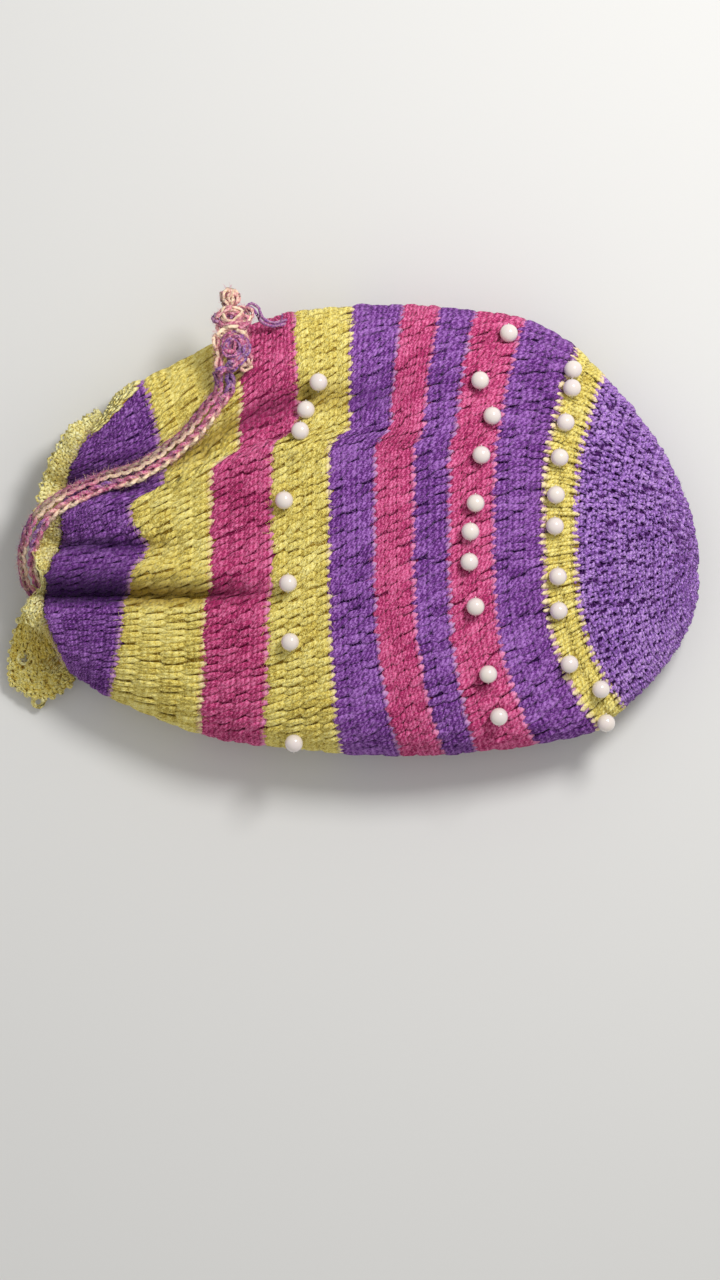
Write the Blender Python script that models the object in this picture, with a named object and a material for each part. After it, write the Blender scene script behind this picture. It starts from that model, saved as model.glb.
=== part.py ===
"""A small crocheted drawstring pouch that lies on its side, with its mouth towards -X.

One fabric is worked in rounds from the centre of the base, at +X, to the gathered mouth, at -X.
Its stripes are the same fabric in other yarns. A thin ruffled edging is worked onto the mouth,
a corded drawstring runs round inside the mouth and out over it to a knot, and three rows of
beads are sewn to the outside. Lengths are in metres, +Z is up, and the pouch rests on z = 0.
"""

from math import cos, pi, sin

import bmesh
import bpy
import numpy as np
from mathutils import Vector
from mathutils.bvhtree import BVHTree

BAG_LENGTH = 0.1990
BAG_WIDTH = 0.1376
BAG_HEIGHT = 0.0430
BASE_END_X = 0.1068
BASE_CENTRE_Y = -0.0140
BASE_CENTRE_Z = 0.0130
RIM_HEIGHT = 0.0150
FABRIC = 0.0026
EDGE_THICKENING = 1.4
SEAT_GAP = 0.0003

BASE_ROUNDS = 12
ROUNDNESS = 2.5
EDGE_SWEEP_POWER = 2.8
FLATTENING = 1.12
COLUMNS = 72

# Each row is a change of yarn, from the rim of the base to the mouth: the yarn that starts
# there, its rounds, how far along the bag it lies, how far its lower and its upper end sweep
# back and how far the crease shifts it (shares of the length), its lower and upper end (shares
# of the half width) and the height of the fabric there (a share of the height).
STRIPES = (
    ("yellow", 2, 0.195, 0.078, 0.039, 0.005, -0.794, 0.698, 0.77),
    ("purple", 3, 0.243, 0.089, 0.048, 0.006, -0.884, 0.811, 0.84),
    ("pink", 3, 0.321, 0.069, 0.048, 0.005, -0.951, 0.938, 0.93),
    ("purple", 2, 0.389, 0.044, 0.036, 0.008, -0.983, 0.974, 0.98),
    ("pink", 3, 0.444, 0.049, 0.031, 0.013, -0.996, 0.991, 1.00),
    ("purple", 3, 0.503, 0.040, 0.022, 0.023, -1.000, 1.000, 1.00),
    ("yellow", 4, 0.573, 0.017, 0.005, 0.031, -0.987, 0.996, 0.98),
    ("pink", 4, 0.664, -0.009, -0.011, 0.037, -0.955, 0.969, 0.94),
    ("yellow", 4, 0.760, -0.017, 0.005, 0.051, -0.901, 0.897, 0.86),
    ("purple", 5, 0.871, -0.041, -0.033, 0.044, -0.738, 0.663, 0.71),
    ("mouth", 0, 1.000, 0.026, 0.070, 0.000, -0.622, 0.528, 0.60),
)

CREASE_Y = 0.0290
CREASE_DRIFT = 0.0190
CREASE_DEPTH = 0.0040
CREASE_WIDTH = 0.0050
FOLD_Y = -0.0205
FOLD_DEPTH = 0.0052
FOLD_WIDTH = 0.0034
PLEAT_PLACES = (0.0120, -0.0047)
PLEAT_DEPTH = 0.0034
PLEAT_WIDTH = 0.0030
PLEAT_PULL = 0.0040
BACK_PLEATS = 9
BACK_PLEAT_DEPTH = 0.0020

PEARL_DIAMETER = 0.0060
PEARL_BORE = 0.0010
PEARL_GAP = 0.0005
PEARL_HOLLOW_ROUNDS = 1.9
PEARL_SIDES = 8

# Where the beads of each row lie on the upper side, seen from above, as x and y.
YELLOW_ROW = (
    (-0.0104, 0.0450), (-0.0143, 0.0366), (-0.0160, 0.0300), (-0.0209, 0.0087),
    (-0.0197, -0.0167), (-0.0191, -0.0347), (-0.0181, -0.0660),
)
PINK_ROW = (
    (0.0482, 0.0605), (0.0392, 0.0456), (0.0429, 0.0347), (0.0395, 0.0226), (0.0377, 0.0078),
    (0.0361, -0.0009), (0.0358, -0.0102), (0.0377, -0.0239), (0.0417, -0.0446),
    (0.0451, -0.0577),
)
BASE_ROW = (
    (0.0681, 0.0494), (0.0677, 0.0436), (0.0656, 0.0329), (0.0637, 0.0220), (0.0625, 0.0105),
    (0.0622, 0.0009), (0.0631, -0.0146), (0.0634, -0.0251), (0.0668, -0.0415),
    (0.0767, -0.0493), (0.0786, -0.0598),
)
# The hidden side carries the same three rows, evenly spaced: the round that each is sewn
# along, where it starts and ends on the underside (in turns) and the number of beads.
BACK_ROWS = (
    ("yellow_row", 30.5, 0.570, 0.930, 7),
    ("pink_row", 18.5, 0.570, 0.930, 9),
    ("base_row", 13.0, 0.580, 0.920, 8),
)

FRILL_THICKNESS = 0.0010
FRILL_GAP = 0.0005
EDGE_SMOOTHING = 8
FRILL_WIDTH = 0.0055
FRILL_RUFFLE = 0.0010
FRILL_RUFFLES = 17
FRILL_FLARE = 0.60
FLAP_LENGTH = 0.0145
FLAP_DROOP = 0.0110
FLAP_TURN = 0.075
FLAP_SPREAD = 0.040
NOTCH_TURN = 0.195
NOTCH_SPREAD = 0.060
NOTCH_CUT = 0.5

CORD_DIAMETER = 0.0032
CORD_STEPS = 74
STRAND_SPACING = 0.0036
# The two strands lie side by side along this line, from the knot over the mouth and into it.
PAIR_ROUTE = (
    (-0.0390, 0.0440, 0.0337), (-0.0412, 0.0408, 0.0339), (-0.0445, 0.0360, 0.0338),
    (-0.0484, 0.0308, 0.0326), (-0.0532, 0.0265, 0.0308), (-0.0583, 0.0226, 0.0302),
    (-0.0637, 0.0191, 0.0314), (-0.0695, 0.0168, 0.0296), (-0.0755, 0.0154, 0.0279),
    (-0.0813, 0.0132, 0.0284), (-0.0871, 0.0105, 0.0302), (-0.0925, 0.0071, 0.0305),
    (-0.0969, 0.0029, 0.0294), (-0.0995, -0.0022, 0.0266), (-0.1009, -0.0085, 0.0205),
    (-0.1008, -0.0135, 0.0168), (-0.0993, -0.0175, 0.0142), (-0.0960, -0.0206, 0.0126),
    (-0.0920, -0.0218, 0.0116), (-0.0880, -0.0220, 0.0108),
)
# Where the two ends go into the knot.
CORD_ENDS = ((-0.03820, 0.04870, 0.03460), (-0.04195, 0.04855, 0.03460))
# Inside the mouth the one drawstring runs round the wall and comes back beside itself.
LOOP_ROUTE = (
    (-0.0843, -0.0180, 0.0092), (-0.0815, -0.0110, 0.0071), (-0.0788, -0.0010, 0.0060),
    (-0.0763, 0.0100, 0.0060), (-0.0738, 0.0190, 0.0060), (-0.0714, 0.0255, 0.0063),
    (-0.0692, 0.0310, 0.0077), (-0.0680, 0.0338, 0.0108), (-0.0680, 0.0338, 0.0146),
    (-0.0692, 0.0310, 0.0178), (-0.0710, 0.0255, 0.0190), (-0.0728, 0.0190, 0.0188),
    (-0.0742, 0.0110, 0.0185), (-0.0752, 0.0020, 0.0190), (-0.0758, -0.0060, 0.0182),
    (-0.0758, -0.0140, 0.0180), (-0.0752, -0.0225, 0.0176), (-0.0740, -0.0300, 0.0192),
    (-0.0733, -0.0357, 0.0184), (-0.0732, -0.0386, 0.0155), (-0.0742, -0.0388, 0.0117),
    (-0.0763, -0.0362, 0.0088), (-0.0790, -0.0315, 0.0079), (-0.0820, -0.0262, 0.0085),
)
KNOT_CENTRE = (-0.0385, 0.0590, 0.0312)
KNOT_LOOP = 0.0024
KNOT_STRETCH = 1.40
KNOT_RISE = 0.0035
KNOT_LEAN = -0.72
KNOT_STEPS = 42

YARN_COLOURS = {
    "purple": (0.175, 0.060, 0.340),
    "pink": (0.480, 0.040, 0.170),
    "yellow": (0.680, 0.600, 0.170),
}
CORD_COLOUR = (0.520, 0.220, 0.300)
PEARL_COLOUR = (0.830, 0.790, 0.770)


def clear_scene():
    for item in list(bpy.data.objects):
        bpy.data.objects.remove(item, do_unlink=True)


def make_material(name, colour, roughness, metallic=0.0):
    material = bpy.data.materials.new(name)
    material.use_nodes = True
    shader = material.node_tree.nodes["Principled BSDF"]
    shader.inputs["Base Color"].default_value = (*colour, 1.0)
    shader.inputs["Roughness"].default_value = roughness
    shader.inputs["Metallic"].default_value = metallic
    return material


def add_object(name, bm, materials):
    mesh = bpy.data.meshes.new(name)
    bm.to_mesh(mesh)
    bm.free()
    mesh.shade_smooth()
    for material in materials:
        mesh.materials.append(material)
    item = bpy.data.objects.new(name, mesh)
    bpy.context.collection.objects.link(item)
    return item


def ease(value, start, end):
    share = np.clip((value - start) / (end - start), 0.0, 1.0)
    return share * share * (3.0 - 2.0 * share)


def smooth_through(places, values, at):
    """Read a smooth curve through (place, value) pairs at the given places."""
    places = np.asarray(places, float)
    values = np.asarray(values, float)
    slopes = np.gradient(values, places)
    at = np.clip(at, places[0], places[-1])
    left = np.clip(np.searchsorted(places, at, side="right") - 1, 0, len(places) - 2)
    span = places[left + 1] - places[left]
    share = (at - places[left]) / span
    keep = (1.0 + 2.0 * share) * (1.0 - share) ** 2
    start = share * (1.0 - share) ** 2 * span * slopes[left]
    end = -share * share * (1.0 - share) * span * slopes[left + 1]
    return keep * values[left] + (1.0 - keep) * values[left + 1] + start + end


def even_angles(turns):
    """Angles round the flattened section that are evenly spaced along the fabric."""
    fine = np.linspace(0.0, 2.0 * pi, 1441)
    across = np.sign(np.cos(fine)) * np.abs(np.cos(fine)) ** (2.0 / ROUNDNESS)
    up = np.sign(np.sin(fine)) * np.abs(np.sin(fine)) ** (2.0 / ROUNDNESS)
    steps = np.hypot(np.diff(across) * BAG_WIDTH, np.diff(up) * BAG_HEIGHT)
    length = np.concatenate(([0.0], np.cumsum(steps)))
    return np.interp(np.mod(turns, 1.0), length / length[-1], fine)


STRIPE_STARTS = BASE_ROUNDS + np.concatenate(([0], np.cumsum([row[1] for row in STRIPES[:-1]])))
LAST_ROUND = int(STRIPE_STARTS[-1])


def column(index, rounds):
    return smooth_through(STRIPE_STARTS, [row[index] for row in STRIPES], rounds)


def pearl_row_hollow(rounds):
    """Lift of the underside over the three rows of beads, so that the beads clear the floor."""
    lift = np.zeros_like(rounds)
    for _, row_round, _, _, _ in BACK_ROWS:
        lift = np.maximum(lift, np.exp(-((rounds - row_round) / PEARL_HOLLOW_ROUNDS) ** 4))
    return lift * (PEARL_DIAMETER + PEARL_GAP + SEAT_GAP)


def fold_relief(along, y):
    """Height of the folds that the drawstring pulls into the upper side, and their pull."""
    drift = np.clip((along - 0.66) / 0.34, 0.0, 1.0) ** 0.8
    crease_y = CREASE_Y - CREASE_DRIFT * drift
    crease_depth = CREASE_DEPTH * (0.2 + 0.8 * ease(along, 0.38, 0.72))
    ridge = np.exp(-(((y - crease_y) / CREASE_WIDTH + 0.9) ** 2))
    valley = np.exp(-(((y - crease_y) / CREASE_WIDTH - 1.1) ** 2))
    height = crease_depth * (0.7 * ridge - valley)
    fold_depth = FOLD_DEPTH * ease(along, 0.62, 0.90)
    fold_ridge = np.exp(-(((y - FOLD_Y) / FOLD_WIDTH - 2.2) ** 2))
    fold_valley = np.exp(-(((y - FOLD_Y) / FOLD_WIDTH) ** 2))
    height = height + fold_depth * (0.5 * fold_ridge - fold_valley)
    pleats = np.zeros_like(y)
    for place in PLEAT_PLACES:
        pleats = pleats + np.exp(-((y - place) / PLEAT_WIDTH) ** 2)
    gathered = ease(along, 0.76, 0.95)
    height = height - PLEAT_DEPTH * gathered * pleats
    pull = PLEAT_PULL * ease(along, 0.76, 0.88) * (1.0 - ease(along, 0.90, 1.0))
    pull = pull * (pleats + fold_valley)
    return height, pull, crease_y


def fabric_points(rounds, turns, inset=0.0):
    """Points of the fabric: its outer face, or a face that lies deeper by the inset.

    rounds counts crocheted rounds from the centre of the base, and turns runs round each of
    them: 0 at the lower edge, a quarter on top, a half at the upper edge.
    """
    rounds = np.asarray(rounds, float)
    angle = even_angles(turns)
    wall = np.maximum(rounds, BASE_ROUNDS)
    across = -np.sign(np.cos(angle)) * np.abs(np.cos(angle)) ** (2.0 / ROUNDNESS)
    lift = np.abs(np.sin(angle)) ** (2.0 / ROUNDNESS)
    on_top = np.sin(angle) >= 0.0
    along = column(2, wall)
    low_y = column(6, wall) * BAG_WIDTH / 2.0
    high_y = column(7, wall) * BAG_WIDTH / 2.0
    half_width = (high_y - low_y) / 2.0
    y = (low_y + high_y) / 2.0 + across * half_width
    relief, pull, crease_y = fold_relief(along, y)
    sweep = np.where(across < 0.0, column(3, wall), column(4, wall))
    sweep = sweep * np.abs(across) ** EDGE_SWEEP_POWER
    top_shift = ease(y, crease_y - 0.6 * CREASE_WIDTH, crease_y + 0.9 * CREASE_WIDTH)
    shift = np.where(on_top, top_shift, ease(across, 0.2, 1.0)) * column(5, wall)
    x = BASE_END_X + (sweep + shift - along) * BAG_LENGTH
    x = x + np.where(on_top, pull, 0.0)
    top = column(8, wall) * BAG_HEIGHT
    rim = RIM_HEIGHT * (0.45 + 0.55 * top / BAG_HEIGHT)
    upper = rim + (top - rim) * lift + relief * lift
    pressed = np.minimum(1.0, FLATTENING * lift)
    back_pleats = 0.5 + 0.5 * np.cos(BACK_PLEATS * 2.0 * angle)
    back_lift = BACK_PLEAT_DEPTH * ease(along, 0.86, 0.98) * back_pleats
    lower = rim * (1.0 - pressed) + pressed * (pearl_row_hollow(wall) + back_lift)
    z = np.where(on_top, upper - inset * lift, lower + inset * pressed)
    y = y - across * inset * EDGE_THICKENING
    share = np.clip(rounds / BASE_ROUNDS, 0.0, 1.0)
    x = BASE_END_X + (x - BASE_END_X) * share ** 1.7 - inset * (1.0 - share)
    y = BASE_CENTRE_Y + (y - BASE_CENTRE_Y) * share ** 0.82
    z = BASE_CENTRE_Z + (z - BASE_CENTRE_Z) * share ** 0.78
    return np.stack((x, y, z), axis=-1)


def make_ring(bm, points):
    return [bm.verts.new(point) for point in points]


def join_rings(bm, first, second, material_index=0):
    count = len(first)
    for place in range(count):
        after = (place + 1) % count
        corners = (first[place], first[after], second[after], second[place])
        face = bm.faces.new(corners)
        face.material_index = material_index


def close_ring(bm, ring, centre, material_index=0):
    tip = bm.verts.new(centre)
    count = len(ring)
    for place in range(count):
        face = bm.faces.new((tip, ring[(place + 1) % count], ring[place]))
        face.material_index = material_index


def yarn_of_round(rounds):
    """The stripe that a round belongs to, counted as a material slot."""
    names = list(YARN_COLOURS)
    stripe = int(np.searchsorted(STRIPE_STARTS, rounds, side="right")) - 1
    if stripe < 0:
        return names.index("purple")
    return names.index(STRIPES[min(stripe, len(STRIPES) - 2)][0])


def build_crochet_body(yarns):
    turns = np.arange(COLUMNS) / COLUMNS
    bm = bmesh.new()
    outer_rounds = np.arange(1, LAST_ROUND + 1)
    inner_rounds = np.concatenate(([5.0, 7.0, 9.0, 10.5], np.arange(BASE_ROUNDS, LAST_ROUND, 1.5)))
    inner_rounds = np.append(inner_rounds, LAST_ROUND)
    outer = [make_ring(bm, fabric_points(np.full(COLUMNS, r), turns)) for r in outer_rounds]
    inner = []
    for r in inner_rounds:
        inner.append(make_ring(bm, fabric_points(np.full(COLUMNS, r), turns, FABRIC)))
    centre = (BASE_END_X, BASE_CENTRE_Y, BASE_CENTRE_Z)
    close_ring(bm, outer[0], centre, yarn_of_round(0))
    for number, (first, second) in enumerate(zip(outer, outer[1:])):
        join_rings(bm, first, second, yarn_of_round(outer_rounds[number]))
    join_rings(bm, outer[-1], inner[-1], yarn_of_round(LAST_ROUND))
    for number in range(len(inner) - 1, 0, -1):
        join_rings(bm, inner[number], inner[number - 1], yarn_of_round(inner_rounds[number - 1]))
    inner_centre = sum((corner.co for corner in inner[0]), Vector()) / COLUMNS
    close_ring(bm, list(reversed(inner[0])), inner_centre, yarn_of_round(0))
    bmesh.ops.recalc_face_normals(bm, faces=bm.faces)
    tree = BVHTree.FromBMesh(bm)
    add_object("crochet_body", bm, yarns)
    return tree


def section_across(turns):
    """How far across the flattened section a turn lies, from -1 to 1."""
    angle = even_angles(turns)
    return -np.sign(np.cos(angle)) * np.abs(np.cos(angle)) ** (2.0 / ROUNDNESS)


def mouth_edge(turns):
    """The middle of the mouth's own edge, and the way that the edge faces."""
    columns = np.arange(COLUMNS) / COLUMNS
    level = np.full(COLUMNS, float(LAST_ROUND))
    outer = fabric_points(level, columns)
    inner = fabric_points(level, columns, FABRIC)
    middle = (outer + inner) / 2.0
    facing = np.cross(np.roll(middle, -1, axis=0) - np.roll(middle, 1, axis=0), outer - inner)
    facing *= -np.sign(facing[:, :1])
    for _ in range(EDGE_SMOOTHING):
        facing = (np.roll(facing, 1, axis=0) + 2.0 * facing + np.roll(facing, -1, axis=0)) / 4.0
    facing /= np.linalg.norm(facing, axis=1, keepdims=True)
    both = np.concatenate((middle, facing), axis=1)
    both = np.concatenate((both, both[:1]))
    places = np.append(columns, 1.0)
    read = np.stack([np.interp(turns, places, both[:, axis]) for axis in range(6)], axis=1)
    return read[:, :3], read[:, 3:]


def frill_line(turns, share):
    """One line of the edging round the mouth, at a share of the way from its root to its edge."""
    root, facing = mouth_edge(turns)
    across = section_across(turns)
    beneath = np.clip(-2.0 * np.sin(even_angles(turns)), 0.0, 1.0)
    way = facing.copy()
    way[:, 1] += FRILL_FLARE * share * across
    way /= np.linalg.norm(way, axis=1, keepdims=True)
    flap = np.exp(-(((turns - FLAP_TURN) / FLAP_SPREAD) ** 2))
    notch = np.exp(-(((turns - NOTCH_TURN) / NOTCH_SPREAD) ** 2))
    width = (FRILL_WIDTH + FLAP_LENGTH * flap) * (1.0 - NOTCH_CUT * notch)
    wave = np.sin(2.0 * pi * FRILL_RUFFLES * turns)
    rise = (wave * (1.0 - 0.5 * beneath) + 0.5 * beneath) * FRILL_RUFFLE * share
    rise = rise - FLAP_DROOP * flap * share ** 1.5
    points = root + facing * FRILL_GAP + way * (width * share)[:, None]
    points[:, 2] += rise
    return points, way


def build_frill(material):
    turns = np.arange(2 * COLUMNS) / (2 * COLUMNS)
    upper, lower = [], []
    for share in (0.0, 0.5, 1.0):
        line, way = frill_line(turns, share)
        heading = np.roll(line, -1, axis=0) - np.roll(line, 1, axis=0)
        normal = np.cross(heading, way)
        normal /= np.linalg.norm(normal, axis=1, keepdims=True)
        upper.append(line + normal * FRILL_THICKNESS / 2.0)
        lower.append(line - normal * FRILL_THICKNESS / 2.0)
    bm = bmesh.new()
    rings = [make_ring(bm, points) for points in upper + lower[::-1]]
    for first, second in zip(rings, rings[1:] + rings[:1]):
        join_rings(bm, first, second)
    bmesh.ops.recalc_face_normals(bm, faces=bm.faces)
    add_object("mouth_frill", bm, [material])


def build_pearl(name, tree, x, y, from_above, material):
    """A bored bead, set down on the fabric at x, y until only its sewing gap is left."""
    radius = PEARL_DIAMETER / 2.0
    reach = radius + PEARL_GAP
    way = -1.0 if from_above else 1.0
    centre = Vector((x, y, BAG_HEIGHT + 2.0 * reach if from_above else -2.0 * reach))
    clear, touching = centre.z, centre.z
    step = 0.0005
    while tree.find_nearest(Vector((x, y, touching)))[3] > reach:
        clear = touching
        touching += way * step
    for _ in range(12):
        middle = (clear + touching) / 2.0
        if tree.find_nearest(Vector((x, y, middle)))[3] > reach:
            clear = middle
        else:
            touching = middle
    centre.z = clear
    bore = PEARL_BORE / 2.0
    start = np.arcsin(bore / radius)
    bm = bmesh.new()
    profile = []
    for angle in np.linspace(start, pi - start, 7):
        profile.append(bm.verts.new((radius * sin(angle), 0.0, radius * cos(angle))))
    edges = [bm.edges.new(pair) for pair in zip(profile, profile[1:])]
    edges.append(bm.edges.new((profile[-1], profile[0])))
    bmesh.ops.spin(
        bm, geom=profile + edges, axis=(0.0, 0.0, 1.0), cent=(0.0, 0.0, 0.0),
        angle=2.0 * pi, steps=PEARL_SIDES, use_merge=True,
    )
    bmesh.ops.remove_doubles(bm, verts=bm.verts, dist=1e-6)
    bmesh.ops.recalc_face_normals(bm, faces=bm.faces)
    pearl = add_object(name, bm, [material])
    pearl.location = centre
    pearl.rotation_euler = (pi / 2.0, 0.0, 0.0)


def build_pearls(tree):
    material = make_material("pearl", PEARL_COLOUR, 0.18)
    rows = (("yellow_row", YELLOW_ROW), ("pink_row", PINK_ROW), ("base_row", BASE_ROW))
    for row_name, places in rows:
        for number, (x, y) in enumerate(places, 1):
            build_pearl(f"pearl_{row_name}_{number:02d}", tree, x, y, True, material)
    for row_name, row_round, start, end, count in BACK_ROWS:
        turns = np.linspace(start, end, count)
        for number, place in enumerate(fabric_points(np.full(count, row_round), turns), 1):
            name = f"pearl_{row_name}_back_{number:02d}"
            build_pearl(name, tree, place[0], place[1], False, material)


def read_route(points, count):
    """Evenly spaced points on a smooth curve through the route's own points."""
    points = np.asarray(points, float)
    gaps = np.linalg.norm(np.diff(points, axis=0), axis=1)
    places = np.concatenate(([0.0], np.cumsum(gaps)))
    fine = np.linspace(0.0, places[-1], 2000)
    curve = np.stack([smooth_through(places, points[:, axis], fine) for axis in range(3)], 1)
    lengths = np.linalg.norm(np.diff(curve, axis=0), axis=1)
    travelled = np.concatenate(([0.0], np.cumsum(lengths)))
    stops = np.linspace(0.0, travelled[-1], count)
    return np.stack([np.interp(stops, travelled, curve[:, axis]) for axis in range(3)], 1)


def drawstring_route():
    """The whole drawstring: out along one strand, round the mouth and back along the other."""
    pair = np.asarray(PAIR_ROUTE)
    heading = np.gradient(pair, axis=0)
    side = np.stack((-heading[:, 1], heading[:, 0], np.zeros(len(pair))), axis=1)
    side /= np.linalg.norm(side, axis=1, keepdims=True)
    first = np.concatenate((CORD_ENDS[:1], pair + side * STRAND_SPACING / 2.0))
    second = np.concatenate((CORD_ENDS[1:], pair - side * STRAND_SPACING / 2.0))
    return np.concatenate((first, LOOP_ROUTE, second[::-1]))


def build_tube(name, points, diameter, material, closed=False):
    curve = bpy.data.curves.new(name, "CURVE")
    curve.dimensions = "3D"
    curve.bevel_depth = diameter / 2.0
    curve.bevel_resolution = 2
    curve.use_fill_caps = not closed
    spline = curve.splines.new("POLY")
    spline.points.add(len(points) - 1)
    for knot, place in zip(spline.points, points):
        knot.co = (*place, 1.0)
    spline.use_cyclic_u = closed
    spline.use_smooth = True
    curve.materials.append(material)
    item = bpy.data.objects.new(name, curve)
    bpy.context.collection.objects.link(item)
    return item


def build_knot(material):
    """The overhand knot that joins the two ends, drawn out along the strands."""
    points = []
    for step in range(KNOT_STEPS):
        t = 2.0 * pi * step / KNOT_STEPS
        x = KNOT_LOOP * (sin(t) + 2.0 * sin(2.0 * t))
        y = KNOT_LOOP * (cos(t) - 2.0 * cos(2.0 * t)) * KNOT_STRETCH
        points.append((x, y, -KNOT_RISE * sin(3.0 * t)))
    knot = build_tube("drawstring_knot", points, CORD_DIAMETER, material, closed=True)
    knot.location = KNOT_CENTRE
    knot.rotation_euler = (KNOT_LEAN, 0.0, 0.0)


def main():
    clear_scene()
    yarns = [make_material(f"{name}_yarn", c, 0.9) for name, c in YARN_COLOURS.items()]
    tree = build_crochet_body(yarns)
    build_frill(yarns[list(YARN_COLOURS).index("yellow")])
    build_pearls(tree)
    cord = make_material("drawstring_yarn", CORD_COLOUR, 0.9)
    build_tube("drawstring", read_route(drawstring_route(), CORD_STEPS), CORD_DIAMETER, cord)
    build_knot(cord)


main()
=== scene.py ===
from math import cos, pi, sin

import bmesh
import bpy
import numpy as np
from mathutils import Matrix, Vector


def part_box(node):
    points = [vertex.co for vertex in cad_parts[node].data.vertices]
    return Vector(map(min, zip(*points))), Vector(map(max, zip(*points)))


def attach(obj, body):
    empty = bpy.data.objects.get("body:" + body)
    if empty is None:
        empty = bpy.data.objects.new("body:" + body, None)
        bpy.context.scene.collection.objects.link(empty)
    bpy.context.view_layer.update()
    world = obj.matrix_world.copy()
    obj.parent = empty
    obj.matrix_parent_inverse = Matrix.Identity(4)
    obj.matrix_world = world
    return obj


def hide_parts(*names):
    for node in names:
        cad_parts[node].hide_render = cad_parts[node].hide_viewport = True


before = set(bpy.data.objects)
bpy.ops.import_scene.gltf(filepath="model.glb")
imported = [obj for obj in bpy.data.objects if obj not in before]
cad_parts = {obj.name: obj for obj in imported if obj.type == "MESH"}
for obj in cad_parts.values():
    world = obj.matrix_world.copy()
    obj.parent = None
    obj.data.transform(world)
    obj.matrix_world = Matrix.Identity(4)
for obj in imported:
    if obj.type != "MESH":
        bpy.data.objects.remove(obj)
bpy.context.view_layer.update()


# The fabric's shape: the pouch is worked in rounds from the centre of its base to the gathered
# mouth, and lies on its side. Everything that is stitched is laid on this surface, which is
# read by round (0 at the base centre, 45 at the mouth) and by turn (0 at the lower edge).
BAG_LENGTH = 0.1990
BAG_WIDTH = 0.1376
BAG_HEIGHT = 0.0430
BASE_END_X = 0.1068
BASE_CENTRE_Y = -0.0140
BASE_CENTRE_Z = 0.0130
RIM_HEIGHT = 0.0150
FABRIC = 0.0026
EDGE_THICKENING = 1.4
BASE_ROUNDS = 12
ROUNDNESS = 2.5
EDGE_SWEEP_POWER = 2.8
FLATTENING = 1.12
# yarn and rounds, then seven measures at the first round of the stripe, as shares of the pouch
ALONG, LOW_SWEEP, HIGH_SWEEP, CREASE_SHIFT, LOW_EDGE, HIGH_EDGE, TOP = range(2, 9)
STRIPES = (
    ("yellow", 2, 0.195, 0.078, 0.039, 0.005, -0.794, 0.698, 0.77),
    ("purple", 3, 0.243, 0.089, 0.048, 0.006, -0.884, 0.811, 0.84),
    ("pink", 3, 0.321, 0.069, 0.048, 0.005, -0.951, 0.938, 0.93),
    ("purple", 2, 0.389, 0.044, 0.036, 0.008, -0.983, 0.974, 0.98),
    ("pink", 3, 0.444, 0.049, 0.031, 0.013, -0.996, 0.991, 1.00),
    ("purple", 3, 0.503, 0.040, 0.022, 0.023, -1.000, 1.000, 1.00),
    ("yellow", 4, 0.573, 0.017, 0.005, 0.031, -0.987, 0.996, 0.98),
    ("pink", 4, 0.662, -0.009, -0.008, 0.042, -0.955, 0.969, 0.94),
    ("yellow", 4, 0.755, -0.010, 0.010, 0.042, -0.901, 0.897, 0.86),
    ("purple", 5, 0.882, -0.024, -0.036, 0.054, -0.738, 0.663, 0.71),
    ("mouth", 0, 1.000, 0.045, 0.070, 0.000, -0.622, 0.528, 0.60),
)
CREASE_Y, CREASE_DRIFT, CREASE_DEPTH, CREASE_WIDTH = 0.0290, 0.0190, 0.0040, 0.0050
JOG_PLACES, JOG_DROPS = (0.38, 0.76, 0.88, 1.0), (0.0018, 0.0018, 0.0068, 0.0020)
JOG_HALF_WIDTHS = (0.0037, 0.0034, 0.0022, 0.0030)
FOLD_Y, FOLD_DEPTH, FOLD_WIDTH, FOLD_STEP = -0.0205, 0.0062, 0.0030, 0.0020
PLEAT_PLACES = (0.0120, -0.0047)
PLEAT_DEPTH, PLEAT_WIDTH = 0.0042, 0.0030
GATHER_Y, GATHER_WIDTH, GATHER_PULL = -0.0055, 0.0058, 0.0056
MOUTH_STEP = 0.0052
# painted shade in the valleys of the folds, and a painted shadow above the lower fold line
FREE_DEPTH, SHADE_PER_METRE, LEAST_LIGHT = 0.0006, 200.0, 0.26
FOLD_SHADOW, SHADOW_WIDTH, SHADOW_EDGE = 0.66, 0.0068, 0.0012
BACK_PLEATS, BACK_PLEAT_DEPTH = 9, 0.0020
PEARL_HOLLOW, PEARL_HOLLOW_ROUNDS = 0.0068, 1.9
BACK_ROW_ROUNDS = (30.5, 18.5, 13.0)
STRIPE_STARTS = BASE_ROUNDS + np.concatenate(([0], np.cumsum([row[1] for row in STRIPES[:-1]])))
LAST_ROUND = int(STRIPE_STARTS[-1])


def ease(value, start, end):
    share = np.clip((value - start) / (end - start), 0.0, 1.0)
    return share * share * (3.0 - 2.0 * share)


def smooth_through(places, values, at):
    places = np.asarray(places, float)
    values = np.asarray(values, float)
    slopes = np.gradient(values, places)
    at = np.clip(at, places[0], places[-1])
    left = np.clip(np.searchsorted(places, at, side="right") - 1, 0, len(places) - 2)
    span = places[left + 1] - places[left]
    share = (at - places[left]) / span
    keep = (1.0 + 2.0 * share) * (1.0 - share) ** 2
    start = share * (1.0 - share) ** 2 * span * slopes[left]
    end = -share * share * (1.0 - share) * span * slopes[left + 1]
    return keep * values[left] + (1.0 - keep) * values[left + 1] + start + end


def even_angles(turns):
    fine = np.linspace(0.0, 2.0 * pi, 1441)
    across = np.sign(np.cos(fine)) * np.abs(np.cos(fine)) ** (2.0 / ROUNDNESS)
    up = np.sign(np.sin(fine)) * np.abs(np.sin(fine)) ** (2.0 / ROUNDNESS)
    steps = np.hypot(np.diff(across) * BAG_WIDTH, np.diff(up) * BAG_HEIGHT)
    length = np.concatenate(([0.0], np.cumsum(steps)))
    return np.interp(np.mod(turns, 1.0), length / length[-1], fine)


def column(index, rounds):
    return smooth_through(STRIPE_STARTS, [row[index] for row in STRIPES], rounds)


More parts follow.
